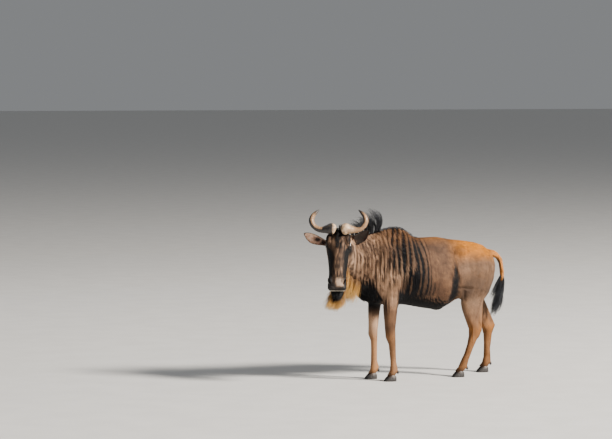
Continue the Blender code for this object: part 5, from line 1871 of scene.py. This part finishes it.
def eye_material():
    """Dark brown with a level pupil, under a wet clear coat."""
    material, tree, shader = new_material("eye")
    iris = mix(tree, blotches(tree, 900.0, 0.3, 0.7, detail=3.0), EYE_BROWN, IRIS_BROWN)
    colour = mix(tree, value_of(tree, "iris"), EYE_RIM, iris)
    colour = mix(tree, value_of(tree, "pupil"), colour, EYE_BLACK)
    link(tree, colour, shader.inputs["Base Color"])
    set_shader(shader, Roughness=0.12, Coat_Weight=1.0, Coat_Roughness=0.03)
    return material


def hoof_material():
    """Black, dusty brown toward the coronet, with fine level growth lines."""
    material, tree, shader = new_material("hoof")
    dusty = product(tree, ramp(tree, value_of(tree, "height"), 0.45, 1.0), blotches(tree, 70.0, 0.3, 0.7))
    colour = mix(tree, dusty, HOOF_BLACK, HOOF_BROWN)
    lines = noise(tree, 160.0, 5.0, (1.0, 1.0, 5.0))
    colour = mix(tree, ramp(tree, lines, 0.5, 0.8, 0.0, 0.5), colour, HOOF_LINE)
    link(tree, colour, shader.inputs["Base Color"])
    link(tree, ramp(tree, lines, 0.3, 0.7, 0.38, 0.62), shader.inputs["Roughness"])
    bump(tree, shader, lines, 0.0012, 0.7)
    return material


def ear_material():
    """Pinkish tan inside with painted shade in its hollow and over the left ear's inside, a dark rim, brown
    outside.
    """
    material, tree, shader = new_material("ear")
    along, inside, edge, shaded = (value_of(tree, name) for name in ("along", "inside", "edge", "shaded"))
    outer = mix(tree, blotches(tree, 60.0, 0.3, 0.7), BROWN_LIGHT, BROWN_DEEP)
    inner = mix(tree, blotches(tree, 45.0, 0.35, 0.65), EAR_PINK, EAR_TAN)
    rim = math_of(tree, "MAXIMUM", ramp(tree, along, 0.94, 1.0), ramp(tree, edge, 0.92, 1.0))
    # Painted shade inside the ear, joined with the dark rim.
    dark = math_of(tree, "MAXIMUM", product(tree, shaded, inside), rim)
    colour = mix(tree, product(tree, dark, 0.98), mix(tree, inside, outer, inner), DARK)
    link(tree, colour, shader.inputs["Base Color"])
    bump(tree, shader, noise(tree, 420.0, 6.0), 0.0008, 0.6)
    set_shader(shader, Roughness=0.70, Specular_IOR_Level=0.20, Subsurface_Weight=0.05)
    return material


def ear_fur_material():
    """Brown outside and pale inside, dark along the rim and with painted shade in the left ear's opening.
    """
    material, tree, shader = new_material("ear_fur")
    colour = mix(tree, value_of(tree, "shade"), BROWN_DEEP, BROWN_LIGHT)
    colour = mix(tree, value_of(tree, "inside"), colour, EAR_HAIR)
    colour = mix(tree, product(tree, value_of(tree, "rim"), 0.92), colour, DARK)
    colour = mix(tree, blotches(tree, 70.0, 0.4, 0.8, 0.0, 0.4), colour, BROWN_DEEP)
    link(tree, colour, shader.inputs["Base Color"])
    set_shader(shader, Roughness=0.6, Specular_IOR_Level=0.25)
    return material


def floor_material():
    material, tree, shader = new_material("floor")
    colour = mix(tree, blotches(tree, 3.0, 0.3, 0.7), FLOOR_LIGHT, FLOOR_DEEP)
    link(tree, colour, shader.inputs["Base Color"])
    set_shader(shader, Roughness=0.8)
    return material


def paint(obj, material):
    obj.data.materials.append(material)


def dress(obj, material, slot, *replaced):
    """Paints a piece and moves it into the frame of the solids, where it rides on their one body."""
    paint(obj, material)
    obj.data.transform(Matrix.Translation(SHIFT))
    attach(obj, "root")
    if replaced:
        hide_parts(*replaced)


def make_flesh():
    """The skin with its coat and long hair."""
    skin = make_skin()
    skin.name = "skin"
    set_values(skin.data, markings(mesh_points(skin)))
    shade_smooth(skin)
    pieces, hairs = make_coat(skin), make_hair(skin)
    dress(skin, skin_material(), "hide", "torso", "neck", "head", "tail", *(leg[0] for leg in LEGS))
    coat = coat_material()
    for piece in pieces:
        dress(piece, coat, "hide")
    black = hair_material("black_hair", MANE_BLACK, MANE_GREY, MANE_SHINE, 0.30, 0.36, 0.5)
    dull = hair_material("dull_hair", DULL_BLACK, DULL_GREY, DULL_TIP, 0.2, 0.6, 0.2)
    looks = {"beard": golden_material(), "brow_hair": dull, "chin_hair": dull, "forelock": dull}
    for piece in hairs:
        dress(piece, looks.get(piece.name, black), "hide")


def make_head_parts():
    """Horns, ears and eyes on both sides."""
    horn, ear, fur, eye = horn_material(), ear_material(), ear_fur_material(), eye_material()
    for label, mirror in (("left", 1), ("right", -1)):
        dress(make_horn(label, mirror), horn, "horn", f"horn_{label}")
        dress(make_eye(label, mirror), eye, "eye", f"eye_{label}")
        piece = make_ear(label, mirror)
        dress(ear_fur(piece, label, mirror), fur, "hide")
        dress(piece, ear, "hide", f"ear_{label}")


def make_feet():
    """Two claws and two dewclaws to each foot."""
    hoof = hoof_material()
    for leg, rows, mirror in LEGS:
        for label, side in (("inner", -mirror), ("outer", mirror)):
            name = leg.replace("leg", "_hoof") + "_" + label
            dress(make_claw(name, rows[-1], mirror, side), hoof, "hoof", name)
            name = leg.replace("leg", "_dewclaw") + "_" + label
            dress(make_dewclaw(name, rows, mirror, side), hoof, "hoof", name)


def make_floor():
    mesh = bmesh.new()
    bmesh.ops.create_grid(mesh, x_segments=1, y_segments=1, size=FLOOR_REACH)
    floor = object_from("floor", mesh)
    paint(floor, floor_material())
    floor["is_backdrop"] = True


def add_light(name, azimuth, elevation, distance, size, power, colour):
    """A soft square light that faces the middle of the animal."""
    data = bpy.data.lights.new(name, "AREA")
    data.size = size
    data.energy = power
    data.color = colour
    light = new_object(name, data)
    a, e = math.radians(azimuth), math.radians(elevation)
    back = Vector((math.sin(a) * math.cos(e), -math.cos(a) * math.cos(e), math.sin(e)))
    light.location = UP * LIT_HEIGHT + back * distance
    light.rotation_euler = back.to_track_quat("Z", "Y").to_euler()


def light_scene():
    """A warm key from the photo's right, a soft fill, a cool rim, and a pale sky."""
    for row in LIGHTS:
        add_light(*row)
    world = bpy.data.worlds.new("sky")
    world.use_nodes = True
    sky = world.node_tree.nodes["Background"]
    sky.inputs["Color"].default_value = (*SKY_COLOUR, 1.0)
    sky.inputs["Strength"].default_value = SKY_STRENGTH
    bpy.context.scene.world = world


def add_camera():
    """The photo's view: a long lens from the animal's left and a little ahead."""
    data = bpy.data.cameras.new("camera")
    data.lens = CAMERA_LENS
    data.sensor_width = CAMERA_SENSOR
    data.clip_end = CAMERA_REACH
    camera = new_object("camera", data)
    back = Vector((math.sin(CAMERA_AZIMUTH), -math.cos(CAMERA_AZIMUTH), 0))
    right = Vector((math.cos(CAMERA_AZIMUTH), math.sin(CAMERA_AZIMUTH), 0))
    level = -back * math.cos(CAMERA_ASIDE) - right * math.sin(CAMERA_ASIDE)
    ahead = level * math.cos(CAMERA_DROP) - UP * math.sin(CAMERA_DROP)
    camera.location = Vector((SHIFT.x, SHIFT.y, 0)) + back * CAMERA_DISTANCE + UP * CAMERA_HEIGHT
    camera.rotation_euler = ahead.to_track_quat("-Z", "Y").to_euler()
    bpy.context.scene.camera = camera


def frame_shift():
    """From the ground under the withers to the frame's origin, by the place of the left eye."""
    low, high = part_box("eye_left")
    return (low + high) / 2 - on_face(*EYE[:3])


def keep_sizes():
    """Puts the box of the solids and of the dressed model into plain lists."""
    boxes = {"cad": CAD_BOX, "visual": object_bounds()}
    plain = {name: [list(corner) for corner in box] for name, box in boxes.items()}


SHIFT = frame_shift()
make_flesh()
make_head_parts()
make_feet()
make_floor()
light_scene()
add_camera()
keep_sizes()
